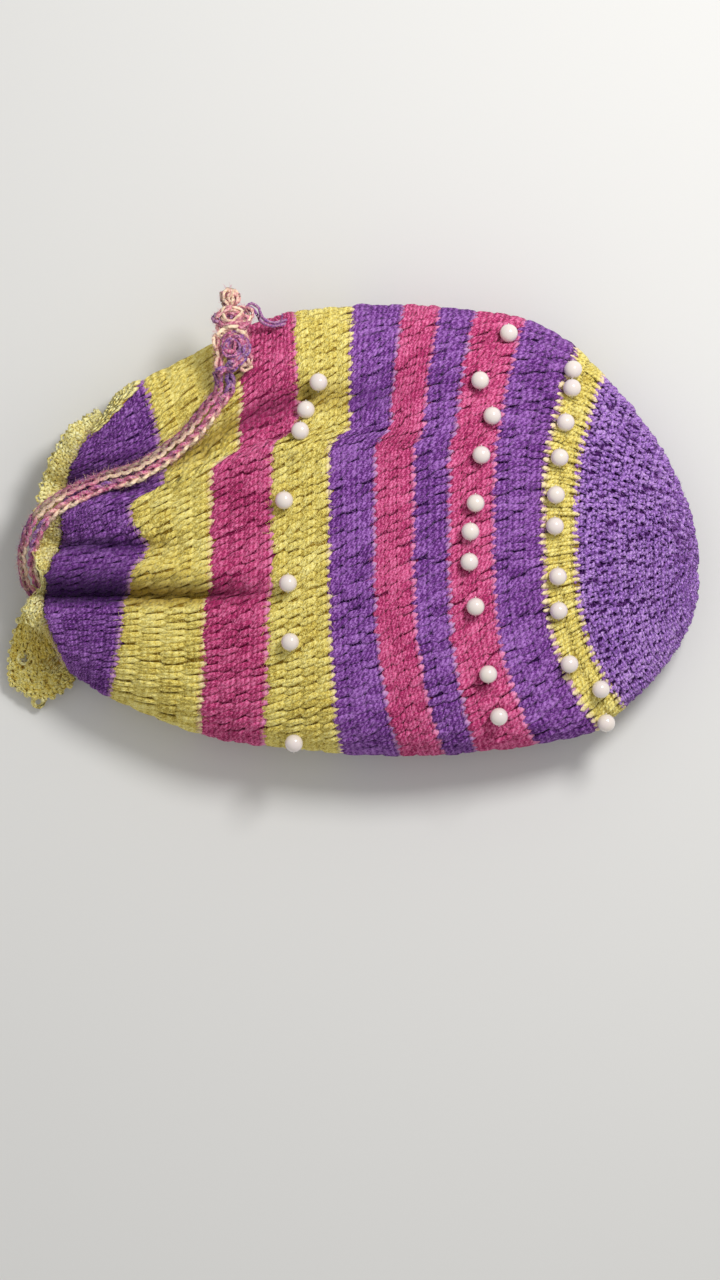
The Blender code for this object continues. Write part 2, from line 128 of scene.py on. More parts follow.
def pearl_row_hollow(rounds):
    lift = np.zeros_like(rounds)
    for row_round in BACK_ROW_ROUNDS:
        lift = np.maximum(lift, np.exp(-((rounds - row_round) / PEARL_HOLLOW_ROUNDS) ** 4))
    return lift * PEARL_HOLLOW


def fold_relief(along, y):
    drift = np.clip((along - 0.66) / 0.34, 0.0, 1.0) ** 0.8
    crease_y = CREASE_Y - CREASE_DRIFT * drift
    crease_depth = CREASE_DEPTH * (0.2 + 0.8 * ease(along, 0.38, 0.72))
    ridge = np.exp(-(((y - crease_y) / CREASE_WIDTH + 0.9) ** 2))
    valley_place = 2.4 - 1.3 * ease(along, 0.70, 0.88)
    valley = np.exp(-(((y - crease_y) / CREASE_WIDTH - valley_place) ** 2))
    height = crease_depth * (0.7 * ridge - valley)
    fold_depth = FOLD_DEPTH * ease(along, 0.58, 0.84)
    fold_ridge = np.exp(-(((y - FOLD_Y) / FOLD_WIDTH - 2.2) ** 2))
    fold_valley = np.exp(-(((y - FOLD_Y) / FOLD_WIDTH) ** 2))
    height = height + fold_depth * (0.5 * fold_ridge - fold_valley)
    pleats = np.zeros_like(y)
    for place in PLEAT_PLACES:
        pleats = pleats + np.exp(-((y - place) / PLEAT_WIDTH) ** 2)
    gathered = ease(along, 0.76, 0.95)
    height = height - PLEAT_DEPTH * gathered * pleats
    pull = GATHER_PULL * ease(along, 0.76, 0.88) * (1.0 - ease(along, 0.90, 1.0))
    pull = pull * np.exp(-(((y - GATHER_Y) / GATHER_WIDTH) ** 2))
    return height, pull, crease_y


def fabric_points(rounds, turns, inset=0.0):
    rounds = np.asarray(rounds, float)
    angle = even_angles(turns)
    wall = np.maximum(rounds, BASE_ROUNDS)
    across = -np.sign(np.cos(angle)) * np.abs(np.cos(angle)) ** (2.0 / ROUNDNESS)
    lift = np.abs(np.sin(angle)) ** (2.0 / ROUNDNESS)
    on_top = np.sin(angle) >= 0.0
    along = column(ALONG, wall)
    low_y = column(LOW_EDGE, wall) * BAG_WIDTH / 2.0
    high_y = column(HIGH_EDGE, wall) * BAG_WIDTH / 2.0
    y = (low_y + high_y) / 2.0 + across * (high_y - low_y) / 2.0
    relief, pull, crease_y = fold_relief(along, y)
    sweep = np.where(across < 0.0, column(LOW_SWEEP, wall), column(HIGH_SWEEP, wall))
    sweep = sweep * np.abs(across) ** EDGE_SWEEP_POWER
    jog_y = crease_y + 0.15 * CREASE_WIDTH - np.interp(along, JOG_PLACES, JOG_DROPS)
    half_width = np.interp(along, JOG_PLACES, JOG_HALF_WIDTHS)
    top_shift = ease(y, jog_y - half_width, jog_y + half_width)
    shift = np.where(on_top, top_shift, ease(across, 0.2, 1.0)) * column(CREASE_SHIFT, wall)
    x = BASE_END_X + (sweep + shift - along) * BAG_LENGTH
    x = x + np.where(on_top, pull, 0.0)
    past_fold = np.where(on_top, ease(y, FOLD_Y - 0.002, FOLD_Y + 0.002), ease(across, -0.9, -0.2))
    x = x - FOLD_STEP * ease(along, 0.62, 0.70) * (1.0 - past_fold)
    mouth_upper = np.where(on_top, ease(y, -0.017, -0.002), ease(across, -0.9, 0.3))
    x = x + MOUTH_STEP * ease(along, 0.92, 1.0) * (mouth_upper - 0.5)
    top = column(TOP, wall) * BAG_HEIGHT
    rim = RIM_HEIGHT * (0.45 + 0.55 * top / BAG_HEIGHT)
    upper = rim + (top - rim) * lift + relief * lift
    pressed = np.minimum(1.0, FLATTENING * lift)
    back_pleats = 0.5 + 0.5 * np.cos(BACK_PLEATS * 2.0 * angle)
    back_lift = BACK_PLEAT_DEPTH * ease(along, 0.86, 0.98) * back_pleats
    lower = rim * (1.0 - pressed) + pressed * (pearl_row_hollow(wall) + back_lift)
    z = np.where(on_top, upper - inset * lift, lower + inset * pressed)
    y = y - across * inset * EDGE_THICKENING
    share = np.clip(rounds / BASE_ROUNDS, 0.0, 1.0)
    x = BASE_END_X + (x - BASE_END_X) * share ** 1.7 - inset * (1.0 - share)
    y = BASE_CENTRE_Y + (y - BASE_CENTRE_Y) * share ** 0.82
    z = BASE_CENTRE_Z + (z - BASE_CENTRE_Z) * share ** 0.78
    return np.stack((x, y, z), axis=-1)


def fold_light(rounds, y):
    """How much light reaches into the folds, painted into the yarn's colour: less in the valleys of the
    upper side.
    """
    along = column(ALONG, np.maximum(rounds, BASE_ROUNDS))
    height, _, _ = fold_relief(along, y)
    # a painted shadow on the fabric just above the lower fold line
    above_fold = np.exp(-(((y - FOLD_Y) / SHADOW_WIDTH - 0.40) ** 2))
    above_fold = above_fold * ease(y, FOLD_Y - SHADOW_EDGE, FOLD_Y)
    above_fold = above_fold * (0.75 * ease(along, 0.60, 0.86) + 0.40 * ease(along, 0.84, 0.90))
    lit = 1.0 + SHADE_PER_METRE * np.minimum(height + FREE_DEPTH, 0.0)
    return np.clip(lit, LEAST_LIGHT, 1.0) * (1.0 - FOLD_SHADOW * above_fold)


def fabric_normals(rounds, turns):
    inner_round = np.clip(rounds - 0.15, 0.6, LAST_ROUND - 0.3)
    along = fabric_points(inner_round + 0.3, turns) - fabric_points(inner_round, turns)
    around = fabric_points(rounds, turns + 0.002) - fabric_points(rounds, turns - 0.002)
    normals = np.cross(around, along)
    return normals / np.maximum(np.linalg.norm(normals, axis=1, keepdims=True), 1e-12)


def on_fabric(rounds, turns, heights):
    """Points at a height above the fabric's outer face; past the mouth it goes straight on."""
    past = np.maximum(rounds - LAST_ROUND, 0.0)[:, None]
    rounds = np.clip(rounds, 0.4, LAST_ROUND)
    points = fabric_points(rounds, turns)
    last = np.full_like(rounds, float(LAST_ROUND))
    onward = fabric_points(last, turns) - fabric_points(last - 1.0, turns)
    return points + past * onward + fabric_normals(rounds, turns) * heights[:, None]


# Yarn: soft acrylic, spun from two plies. Its colour varies from fibre to fibre; shade is painted into the
# hollows between stitches and the folds, highlight and shade along the plies, and short fibres on its
# surface catch the light.
def screen_colour(red, green, blue):
    """A colour as a screen shows it, from 0 to 255, in the linear values that a shader takes."""
    parts = []
    for value in (red, green, blue):
        value /= 255.0
        parts.append(value / 12.92 if value <= 0.04045 else ((value + 0.055) / 1.055) ** 2.4)
    return (*parts, 1.0)


YARN_COLOURS = {
    "purple": (screen_colour(50, 14, 72), screen_colour(113, 50, 137), screen_colour(176, 122, 200)),
    "pink": (screen_colour(118, 16, 66), screen_colour(190, 54, 112), screen_colour(236, 126, 172)),
    "yellow": (screen_colour(146, 114, 26), screen_colour(228, 207, 100), screen_colour(248, 236, 154)),
}
TIP_COLOURS = {
    "purple": screen_colour(216, 166, 204), "pink": screen_colour(238, 158, 198),
    "yellow": screen_colour(242, 220, 186),
}
PLY_TURNS_PER_MM = 0.70
PLY_SLANT = -2.0
# how strongly the plies' ridges and grooves are painted as highlight and shade
PLY_SHADE_CONTRAST = {"purple": 0.30, "pink": 0.30, "yellow": 0.12}
FIBRE_SCALE, TUFT_SCALE, PATCH_SCALE = 1900.0, 620.0, 70.0
FIBRE_CONTRAST, TUFT_CONTRAST, PATCH_CONTRAST, STITCH_CONTRAST = 3.2, 1.4, 0.9, 0.45


def mix_colour(tree, factor, first, second):
    mix = tree.nodes.new("ShaderNodeMix")
    mix.data_type = "RGBA"
    for socket, value in (("Factor", factor), ("A", first), ("B", second)):
        kind = "VALUE" if socket == "Factor" else "RGBA"
        target = next(s for s in mix.inputs if s.name == socket and s.type == kind)
        if isinstance(value, bpy.types.NodeSocket):
            tree.links.new(value, target)
        else:
            target.default_value = value
    return next(s for s in mix.outputs if s.type == "RGBA")


def maths(tree, operation, first, second=0.0, clamp=False):
    node = tree.nodes.new("ShaderNodeMath")
    node.operation = operation
    node.use_clamp = clamp
    for place, value in enumerate((first, second)):
        if isinstance(value, bpy.types.NodeSocket):
            tree.links.new(value, node.inputs[place])
        else:
            node.inputs[place].default_value = value
    return node.outputs[0]


def read_attribute(tree, name):
    node = tree.nodes.new("ShaderNodeAttribute")
    node.attribute_name = name
    return node.outputs["Fac"]


def noise(tree, place, scale, detail=2.0):
    node = tree.nodes.new("ShaderNodeTexNoise")
    node.inputs["Scale"].default_value = scale
    node.inputs["Detail"].default_value = detail
    node.inputs["Roughness"].default_value = 0.6
    tree.links.new(place, node.inputs["Vector"])
    return node.outputs[0]


def ply_ridges(tree):
    """The slanting ridges of the plies, read from the strand's own map: length, then girth."""
    mapped = tree.nodes.new("ShaderNodeTexCoord").outputs["UV"]
    parts = tree.nodes.new("ShaderNodeSeparateXYZ")
    tree.links.new(mapped, parts.inputs[0])
    girth = maths(tree, "MULTIPLY", parts.outputs[1], PLY_SLANT)
    turn = maths(tree, "ADD", parts.outputs[0], girth)
    return maths(tree, "SINE", maths(tree, "MULTIPLY", turn, 2.0 * pi))


def fuzzy_bump(tree, shader, height, strength, distance):
    bump = tree.nodes.new("ShaderNodeBump")
    bump.inputs["Strength"].default_value = strength
    bump.inputs["Distance"].default_value = distance
    tree.links.new(height, bump.inputs["Height"])
    tree.links.new(bump.outputs[0], shader.inputs["Normal"])


def new_shader(name, roughness):
    material = bpy.data.materials.new(name)
    material.use_nodes = True
    shader = material.node_tree.nodes["Principled BSDF"]
    shader.inputs["Roughness"].default_value = roughness
    return material, material.node_tree, shader


def soft_shader(name, roughness=0.9):
    material, tree, shader = new_shader(name, roughness)
    shader.inputs["Sheen Weight"].default_value = 0.06
    shader.inputs["Sheen Roughness"].default_value = 0.5
    shader.inputs["Specular IOR Level"].default_value = 0.15
    return material, tree, shader


def centred(tree, value, amount):
    """A noise value, set about zero and made stronger or weaker."""
    return maths(tree, "MULTIPLY", maths(tree, "SUBTRACT", value, 0.5), amount)


def yarn_material(name, colours, tip_colour=None, ply_shading=0.12):
    dark, middle, light = colours
    material, tree, shader = soft_shader(name)
    place = tree.nodes.new("ShaderNodeTexCoord").outputs["Object"]
    fibres = noise(tree, place, FIBRE_SCALE, 3.0)
    tufts = noise(tree, place, TUFT_SCALE)
    patches = noise(tree, place, PATCH_SCALE)
    ridges = ply_ridges(tree)
    lightness = centred(tree, fibres, FIBRE_CONTRAST)
    lightness = maths(tree, "ADD", lightness, centred(tree, tufts, TUFT_CONTRAST))
    lightness = maths(tree, "ADD", lightness, centred(tree, patches, PATCH_CONTRAST))
    shade = centred(tree, read_attribute(tree, "shade"), STITCH_CONTRAST)
    lightness = maths(tree, "ADD", lightness, shade)
    # painted highlight and shade: lighter on the plies' ridges, darker in the grooves between them
    lightness = maths(tree, "ADD", lightness, maths(tree, "MULTIPLY", ridges, ply_shading))
    lit = maths(tree, "ADD", lightness, 0.26, clamp=True)
    unlit = maths(tree, "SUBTRACT", -0.02, lightness, clamp=True)
    colour = mix_colour(tree, lit, middle, light)
    # painted shade: the colour goes towards the dark colour where the strand lies low between stitches, and
    # where the painted light of the folds, the loose holes and the edging's foot is low
    reach = maths(tree, "MULTIPLY", read_attribute(tree, "depth"), read_attribute(tree, "fold"))
    shadow = maths(tree, "SUBTRACT", 1.0, reach, clamp=True)
    shadow = maths(tree, "MAXIMUM", shadow, maths(tree, "MULTIPLY", unlit, 0.9), clamp=True)
    colour = mix_colour(tree, shadow, colour, dark)
    if tip_colour:
        colour = mix_colour(tree, read_attribute(tree, "tip"), colour, tip_colour)
    tree.links.new(colour, shader.inputs["Base Color"])
    height = maths(tree, "ADD", maths(tree, "MULTIPLY", ridges, 0.5), fibres)
    height = maths(tree, "ADD", height, tufts)
    fuzzy_bump(tree, shader, height, 0.8, 0.0004)
    return material


YARNS = {
    name: yarn_material(f"{name}_yarn", colours, TIP_COLOURS[name], PLY_SHADE_CONTRAST[name])
    for name, colours in YARN_COLOURS.items()
}


# The fabric behind the stitches: the part of every stitch that lies inside the fabric, seen between the
# yarns and on the inside at the mouth. It is painted mostly in the yarn's dark colour, as painted shade for
# the yarn that lies in the hollows.
GROUND_DEPTH = 0.0002
GROUND_ROUNDS = 66
GROUND_TURNS = 150


def ground_material(name, colours):
    dark, middle, _ = colours
    material, tree, shader = soft_shader(name, 0.95)
    place = tree.nodes.new("ShaderNodeTexCoord").outputs["Object"]
    fibres = noise(tree, place, 1500.0, 3.0)
    knots = noise(tree, place, 420.0, 1.0)
    # painted shade: mostly the dark colour, darker still where the painted light of the folds is low
    mixed = maths(tree, "ADD", centred(tree, fibres, 1.6), 0.12)
    mixed = maths(tree, "MULTIPLY", mixed, read_attribute(tree, "fold"), clamp=True)
    colour = mix_colour(tree, mixed, dark, middle)
    tree.links.new(colour, shader.inputs["Base Color"])
    fuzzy_bump(tree, shader, maths(tree, "ADD", fibres, knots), 0.8, 0.0008)
    return material


def yarn_at(rounds):
    stripe = int(np.searchsorted(STRIPE_STARTS, rounds, side="right")) - 1
    return "purple" if stripe < 0 else STRIPES[min(stripe, len(STRIPES) - 2)][0]


def mesh_of(name, bm):
    """Turns the faces of a finished shape outwards and hands it over as a smooth mesh."""
    bmesh.ops.recalc_face_normals(bm, faces=bm.faces)
    mesh = bpy.data.meshes.new(name)
    bm.to_mesh(mesh)
    bm.free()
    mesh.shade_smooth()
    return mesh


def show(name, mesh, materials, slot=None, *replaced):
    """Shows a mesh; a piece of the pouch, one that is given a slot, is also attached to the root body, and
    the parts that it replaces are hidden.
    """
    for material in materials:
        mesh.materials.append(material)
    piece = bpy.data.objects.new(name, mesh)
    bpy.context.collection.objects.link(piece)
    if slot:
        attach(piece, "root")
    if replaced:
        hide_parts(*replaced)
    return piece


def flat_sheet(bm, along, across):
    """The points of a flat grid, their places from 0 to 1 each way, and a layer for its light."""
    layers = bm.verts.layers.float
    layer = layers.get("fold") or layers.new("fold")
    made = bmesh.ops.create_grid(bm, x_segments=along, y_segments=across, size=0.5)["verts"]
    return made, np.array([corner.co for corner in made]) + 0.5, layer


def lay_sheet(verts, points, layer, lights):
    for corner, point, light in zip(verts, points, lights):
        corner.co = point
        corner[layer] = light


def ground_wall(bm, first_round, inset, turned):
    """One face of the ground: a flat grid laid on the fabric and sewn up at turn 0."""
    verts, flat, layer = flat_sheet(bm, GROUND_ROUNDS, GROUND_TURNS)
    rounds = first_round + (LAST_ROUND - first_round) * flat[:, 0]
    faces = {face for corner in verts for face in corner.link_faces}
    names = list(YARNS)
    for face in faces:
        middle = face.calc_center_median().x + 0.5
        middle = first_round + (LAST_ROUND - first_round) * middle
        face.material_index = names.index(yarn_at(middle))
    if turned:
        bmesh.ops.reverse_faces(bm, faces=list(faces))
    points = fabric_points(rounds, flat[:, 1], inset)
    lay_sheet(verts, points, layer, fold_light(rounds, points[:, 1]))


bm = bmesh.new()
ground_wall(bm, 1.0, GROUND_DEPTH, True)
ground_wall(bm, 3.0, FABRIC, False)
bmesh.ops.remove_doubles(bm, verts=bm.verts, dist=1e-7)
rims = [edge for edge in bm.edges if edge.is_boundary]
mouth_rims = [edge for edge in rims if edge.verts[0].co.x < 0.0]
base_rims = [edge for edge in rims if edge.verts[0].co.x > 0.0]
bmesh.ops.bridge_loops(bm, edges=mouth_rims)
bmesh.ops.holes_fill(bm, edges=base_rims, sides=0)
mesh = mesh_of("crochet_ground", bm)
grounds = [ground_material(f"{name}_ground", colours) for name, colours in YARN_COLOURS.items()]
show("crochet_ground", mesh, grounds, "purple_yarn", "crochet_body")


# The wall's stitches: one post of two strands for each, about 2.5 mm apart round the pouch and
# 5 mm tall. Both strands leave the round below together, spread, and lean to one side, so small
# dark holes stay between their feet. Each round is worked into the round before.
STITCHES_ROUND = 116
STITCH_PITCH = 2.5
ROUND_LENGTH = 5.0
STRAND_RADIUS, CLOSE_STRAND_RADIUS = 0.82, 0.93
CLOSE_STRIPES = 6
STRAND_SIDES = 5
END_TAPER = 0.72
STITCH_LEAN = 0.44
COURSE_STAGGER = -0.38
STITCH_FOOT = 0.75
TIP_PALENESS = 0.85
POST_STRANDS = (
    ((-1.15, 0.05, -0.70), (-0.55, 0.00, 0.10), (0.70, -0.10, 0.40), (2.10, -0.42, 0.52),
     (3.40, -0.48, 0.44), (4.60, -0.22, -0.05), (5.50, -0.05, -0.95)),
    ((-0.85, 0.34, -0.85), (0.00, 0.28, 0.00), (1.20, 0.34, 0.30), (2.50, 0.52, 0.44),
     (3.60, 0.52, 0.36), (4.70, 0.34, -0.15), (5.50, 0.20, -0.95)),
)


def yarn_strand(bm, path, radius, sides=STRAND_SIDES):
    """A capped tube of a few sides, extruded from point to point; its map follows the yarn."""
    path = [Vector(point) for point in path]
    layer = bm.loops.layers.uv.verify()
    made = bmesh.ops.create_circle(bm, cap_ends=True, radius=radius, segments=sides)["verts"]
    face = made[0].link_faces[0]
    rings = []
    for number, point in enumerate(path):
        before, after = path[max(number - 1, 0)], path[min(number + 1, len(path) - 1)]
        turned = (after - before).to_track_quat("Z", "X").to_matrix()
        if number:
            grown = bmesh.ops.extrude_face_region(bm, geom=[face])["geom"]
            face = next(item for item in grown if isinstance(item, bmesh.types.BMFace))
        corners = [loop.vert for loop in face.loops]
        if number == 0:
            order = corners
        else:
            order = [next(e.other_vert(v) for e in v.link_edges if e.other_vert(v) in corners)
                     for v in rings[-1]]
        taper = END_TAPER if number in (0, len(path) - 1) else 1.0
        for side, corner in enumerate(order):
            angle = 2.0 * pi * side / sides
            spoke = Vector((cos(angle), sin(angle), 0.0)) * radius * taper
            corner.co = point + turned @ spoke
        rings.append(order)
    travelled = 0.0
    for number in range(len(rings)):
        if number:
            travelled += (path[number] - path[number - 1]).length
        for side, corner in enumerate(rings[number]):
            for loop in corner.link_loops:
                seam = [rings[n][-1] for n in (number - 1, number) if n >= 0]
                closing = side == 0 and any(other.vert in seam for other in loop.face.loops)
                girth = 1.0 if closing else side / sides
                loop[layer].uv = (travelled * PLY_TURNS_PER_MM, girth)


def make_template(name, strands, radius, lean=0.0, sides=STRAND_SIDES):
    bm = bmesh.new()
    for strand in strands:
        yarn_strand(bm, strand, radius, sides)
    for corner in bm.verts:
        corner.co.y -= lean * corner.co.x
    return mesh_of(name, bm)


def copies_of(template, count):
    """Many copies of a small mesh in one, all still at its own place."""
    bm = bmesh.new()
    for _ in range(count):
        bm.from_mesh(template)
    mesh = bpy.data.meshes.new(template.name)
    bm.to_mesh(mesh)
    bm.free()
    points = np.empty(len(mesh.vertices) * 3)
    mesh.vertices.foreach_get("co", points)
    return mesh, points.reshape(count, -1, 3)


def add_values(mesh, **values):
    """Values that the yarn reads at each point: depth, the painted light, shade and tip, or depth and dye;
    depth and the painted light darken the colour as painted shade.
    """
    for name, value in values.items():
        value = np.broadcast_to(np.ravel(value), len(mesh.vertices))
        layer = mesh.attributes.new(name, "FLOAT", "POINT")
        layer.data.foreach_set("value", np.ascontiguousarray(value, dtype=np.float32))


PRESSED = 0.0008


def place_points(mesh, points):
    """Sets the points of a mesh; yarn that would reach below the floor is pressed flat on it."""
    points = np.array(points)
    low = points[:, 2] < PRESSED
    points[low, 2] = PRESSED * np.exp(np.maximum(points[low, 2] - PRESSED, -0.0030) / PRESSED)
    mesh.vertices.foreach_set("co", np.ascontiguousarray(points, dtype=np.float32).ravel())
    mesh.update()
    mesh.shade_smooth()


# where a stitch was worked loosely a larger hole shows: across and up, in metres
LOOSE_HOLES = np.array((
    (0.0693, 0.0347), (0.0746, 0.0214), (0.0803, 0.0381), (0.0773, 0.0257), (0.0733, 0.0313),
    (0.0873, 0.0285), (0.0946, 0.0171), (0.1000, 0.0000), (0.1012, -0.0037), (0.0560, 0.0127),
    (0.0749, -0.0161), (0.0910, 0.0127), (0.0972, 0.0074), (0.1015, -0.0081), (-0.0454, 0.0229),
    (-0.0185, 0.0215), (0.0860, 0.0330), (0.0822, -0.0290), (0.0935, -0.0222), (0.0700, -0.0440),
))
HOLE_SIZE, HOLE_DEPTH = 0.0010, 0.0016


def loose_holes(points):
    """1 in the middle of a loose hole on the upper side, 0 away from all of them."""
    nearest = np.full(len(points), 1.0)
    for hole in LOOSE_HOLES:
        nearest = np.minimum(nearest, np.hypot(points[:, 0] - hole[0], points[:, 1] - hole[1]))
    return np.exp(-((nearest / HOLE_SIZE) ** 2)) * (points[:, 2] > RIM_HEIGHT)


draw = np.random.default_rng(7)
post_template = make_template("post", POST_STRANDS, STRAND_RADIUS, STITCH_LEAN)
close_template = make_template("close_post", POST_STRANDS, CLOSE_STRAND_RADIUS, STITCH_LEAN)


def work_stripe(name, template, course_rounds, course_length, counts, yarn, tip_start, tip_end,
                unevenness=0.075, twist=0.0):
    """A stripe of stitches; each course has its first round, and its count of stitches."""
    total = sum(counts)
    mesh, points = copies_of(template, total)
    first = np.repeat(course_rounds, counts)
    length = np.repeat(course_length, counts)
    per_round = np.repeat(counts, counts)
    numbers = np.concatenate([np.arange(count) for count in counts])
    stagger = np.repeat(COURSE_STAGGER * np.arange(len(counts)), counts)
    wander = draw.normal(0.0, 1.0, (total, 5))
    turned = twist * wander[:, 4:5]
    from_middle, beside = points[:, :, 0] - ROUND_LENGTH / 2.0, points[:, :, 1].copy()
    points[:, :, 0] = ROUND_LENGTH / 2.0 + from_middle * np.cos(turned) - beside * np.sin(turned)
    points[:, :, 1] = beside * np.cos(turned) + from_middle * np.sin(turned)
    points = points + draw.normal(0.0, unevenness, points.shape)
    u = points[:, :, 0] * (1.0 + 0.05 * wander[:, :1]) / ROUND_LENGTH
    v = points[:, :, 1] / STITCH_PITCH * (1.0 + 0.12 * wander[:, 3:4])
    v = v + 1.2 * unevenness * wander[:, 1:2]
    w = points[:, :, 2] + 0.16 * wander[:, 2:3]
    rounds = first[:, None] + (u + 0.025 * wander[:, 3:4]) * length[:, None]
    turns = (numbers[:, None] + stagger[:, None] + v) / per_round[:, None]
    laid = on_fabric(rounds.ravel(), turns.ravel(), w.ravel() / 1000.0)
    hollow = loose_holes(laid)
    laid -= fabric_normals(rounds.ravel(), turns.ravel()) * HOLE_DEPTH * hollow[:, None]
    place_points(mesh, laid)
    tips = np.zeros_like(u)
    first_course = np.repeat(np.arange(len(counts)) == 0, counts)[:, None]
    last_course = np.repeat(np.arange(len(counts)) == len(counts) - 1, counts)[:, None]
    if tip_start:
        tips = np.maximum(tips, first_course * np.clip(1.0 - (u + 0.02) / 0.10, 0.0, 1.0))
    if tip_end:
        tips = np.maximum(tips, last_course * np.clip((u - 0.86) / 0.08, 0.0, 1.0))
    # painted shade: the low parts of each stitch, the folds and the stitches round a loose hole are
    # darkened
    add_values(
        mesh, depth=np.clip(points[:, :, 2] + STITCH_FOOT, 0.0, 1.0), tip=tips * TIP_PALENESS,
        fold=fold_light(rounds.ravel(), laid[:, 1]) * (1.0 - 0.9 * hollow),
        shade=np.repeat(draw.random(total), points.shape[1]),
    )
    slot = "purple_yarn" if yarn == "base" else f"{yarn}_yarn"
    show(name, mesh, [YARNS[yarn]], slot, "crochet_body")


# Loose fibres stand off the yarn everywhere: short, thin and curved, in the yarn's own material; on the
# wall, edging and flap they are painted lighter on the whole than the stitches, a painted highlight where
# they catch the light.
FIBRE_LENGTH = 2.0
FIBRE_WIDTH = 0.075
FIBRES_ROUND = 1500


def loose_fibres(name, roots, outward, yarn, slot, node, fold=None):
    count = len(roots)
    bm = bmesh.new()
    bmesh.ops.create_grid(bm, x_segments=3, y_segments=1, size=0.5)
    template = bpy.data.meshes.new("fibre")
    bm.to_mesh(template)
    bm.free()
    mesh, points = copies_of(template, count)
    spread = draw.normal(0.0, 1.0, (count, 3))
    spread -= outward * np.sum(spread * outward, axis=1, keepdims=True)
    spread /= np.linalg.norm(spread, axis=1, keepdims=True)
    beside = np.cross(outward, spread)
    length = FIBRE_LENGTH * (0.4 + 0.9 * draw.random((count, 1)))
    bend = 0.30 * draw.normal(0.0, 1.0, (count, 1))
    lift = 0.15 + 0.55 * draw.random((count, 1)) ** 2
    along = (points[:, :, 0] + 0.5) * length
    across = points[:, :, 1] * FIBRE_WIDTH * (1.0 - 0.6 * (points[:, :, 0] + 0.5))
    across = across + bend * along ** 2 / 2.0
    above = lift * np.sin(along / length * 2.4)
    ways = ((along, spread), (across, beside), (above, outward))
    laid = roots[:, None] + sum(size[:, :, None] * way[:, None] for size, way in ways) / 1000.0
    place_points(mesh, laid.reshape(-1, 3))
    # painted highlight: the fibres' shade runs lighter than the stitches'
    shade = np.repeat(0.2 + 1.3 * draw.random(count), points.shape[1])
    fold = 1.0 if fold is None else np.repeat(fold, points.shape[1])
    add_values(mesh, depth=1.0, tip=0.0, shade=shade, fold=fold)
    return show(name, mesh, [yarn], slot, node)


def fibres_on_fabric(name, first_round, last_round, count, yarn):
    rounds = first_round + (last_round - first_round) * draw.random(count)
    turns = draw.random(count)
    heights = (0.35 + 0.7 * draw.random(count)) / 1000.0
    roots = on_fabric(rounds, turns, heights)
    loose_fibres(name, roots, fabric_normals(rounds, turns), YARNS[yarn], f"{yarn}_yarn", "crochet_body",
                 fold_light(rounds, roots[:, 1]))


for number, row in enumerate(STRIPES[:-1]):
    fibres_on_fabric(f"fibres_{number + 1:02d}_{row[0]}", STRIPE_STARTS[number] - 0.15,
                     STRIPE_STARTS[number + 1] + 0.15, FIBRES_ROUND * row[1], row[0])
fibres_on_fabric("fibres_base", 2.0, float(BASE_ROUNDS), FIBRES_ROUND * 5, "purple")


# The narrow yellow stripe beside the base: the ends of its stitches reach over the purple on both
# sides as rounded teeth, and dark slits stay between them.
TEETH_ROUND = 102
TOOTH_RADIUS, TOOTH_LEAN = 0.80, 0.10
FIRST_TEETH = (
    ((-1.30, 0.10, 0.30), (-0.60, 0.02, 0.72), (0.80, 0.00, 0.62), (2.60, -0.35, 0.55),
     (5.20, -0.60, 0.10)),
    ((0.60, 1.20, -0.10), (2.20, 1.05, 0.40), (3.60, 0.85, 0.50), (5.20, 0.55, 0.10)),
)
LAST_TEETH = (
    ((-0.40, 0.50, 0.10), (1.60, 0.20, 0.55), (3.60, 0.00, 0.62), (5.20, -0.05, 0.75), (6.10, -0.15, 0.30)),
    ((-0.30, -0.70, 0.20), (1.40, -0.95, 0.50), (3.00, -1.10, 0.35), (4.20, -1.25, -0.20)),
)
for number, teeth in enumerate((FIRST_TEETH, LAST_TEETH), 1):
    template = make_template(f"tooth_{number}", teeth, TOOTH_RADIUS, TOOTH_LEAN)
    work_stripe(
        f"stripe_01_yellow_{number}", template, np.array([BASE_ROUNDS + number - 1.0]), np.ones(1),
        [TEETH_ROUND], "yellow", tip_start=number == 1, tip_end=number == 2,
    )


# The other stripes, from the base to the mouth. The first ones are worked a little closer, and
# where the colour changes the ends of the stitches look paler.
for number, row in list(enumerate(STRIPES[:-1]))[1:]:
    courses = np.arange(STRIPE_STARTS[number], STRIPE_STARTS[number + 1], dtype=float)
    template = close_template if number < CLOSE_STRIPES else post_template
    work_stripe(
        f"stripe_{number + 1:02d}_{row[0]}", template, courses, np.ones(len(courses)),
        [STITCHES_ROUND] * len(courses), row[0], tip_start=True, tip_end=False,
    )


# The base: tighter stitches in the purple yarn, two leaning legs and a short bar over them,
# worked in rounds that grow from the centre.
BASE_COURSES = 17
BASE_STRAND_RADIUS, BASE_LEAN = 0.72, 0.30
BASE_STRANDS = (
    ((-0.60, -0.95, -0.40), (0.70, -0.70, 0.34), (2.20, -0.10, 0.66), (3.60, 0.35, 0.34),
     (4.60, 0.60, -0.50)),
    ((0.20, 1.05, -0.50), (1.50, 0.75, 0.20), (2.90, 0.20, 0.36), (4.40, -0.50, 0.30),
     (5.30, -0.80, -0.50)),
    ((3.40, -1.45, -0.25), (4.20, -0.70, 0.40), (4.70, 0.35, 0.52), (4.60, 1.25, -0.20)),
)
base_template = make_template("base_stitch", BASE_STRANDS, BASE_STRAND_RADIUS, BASE_LEAN)
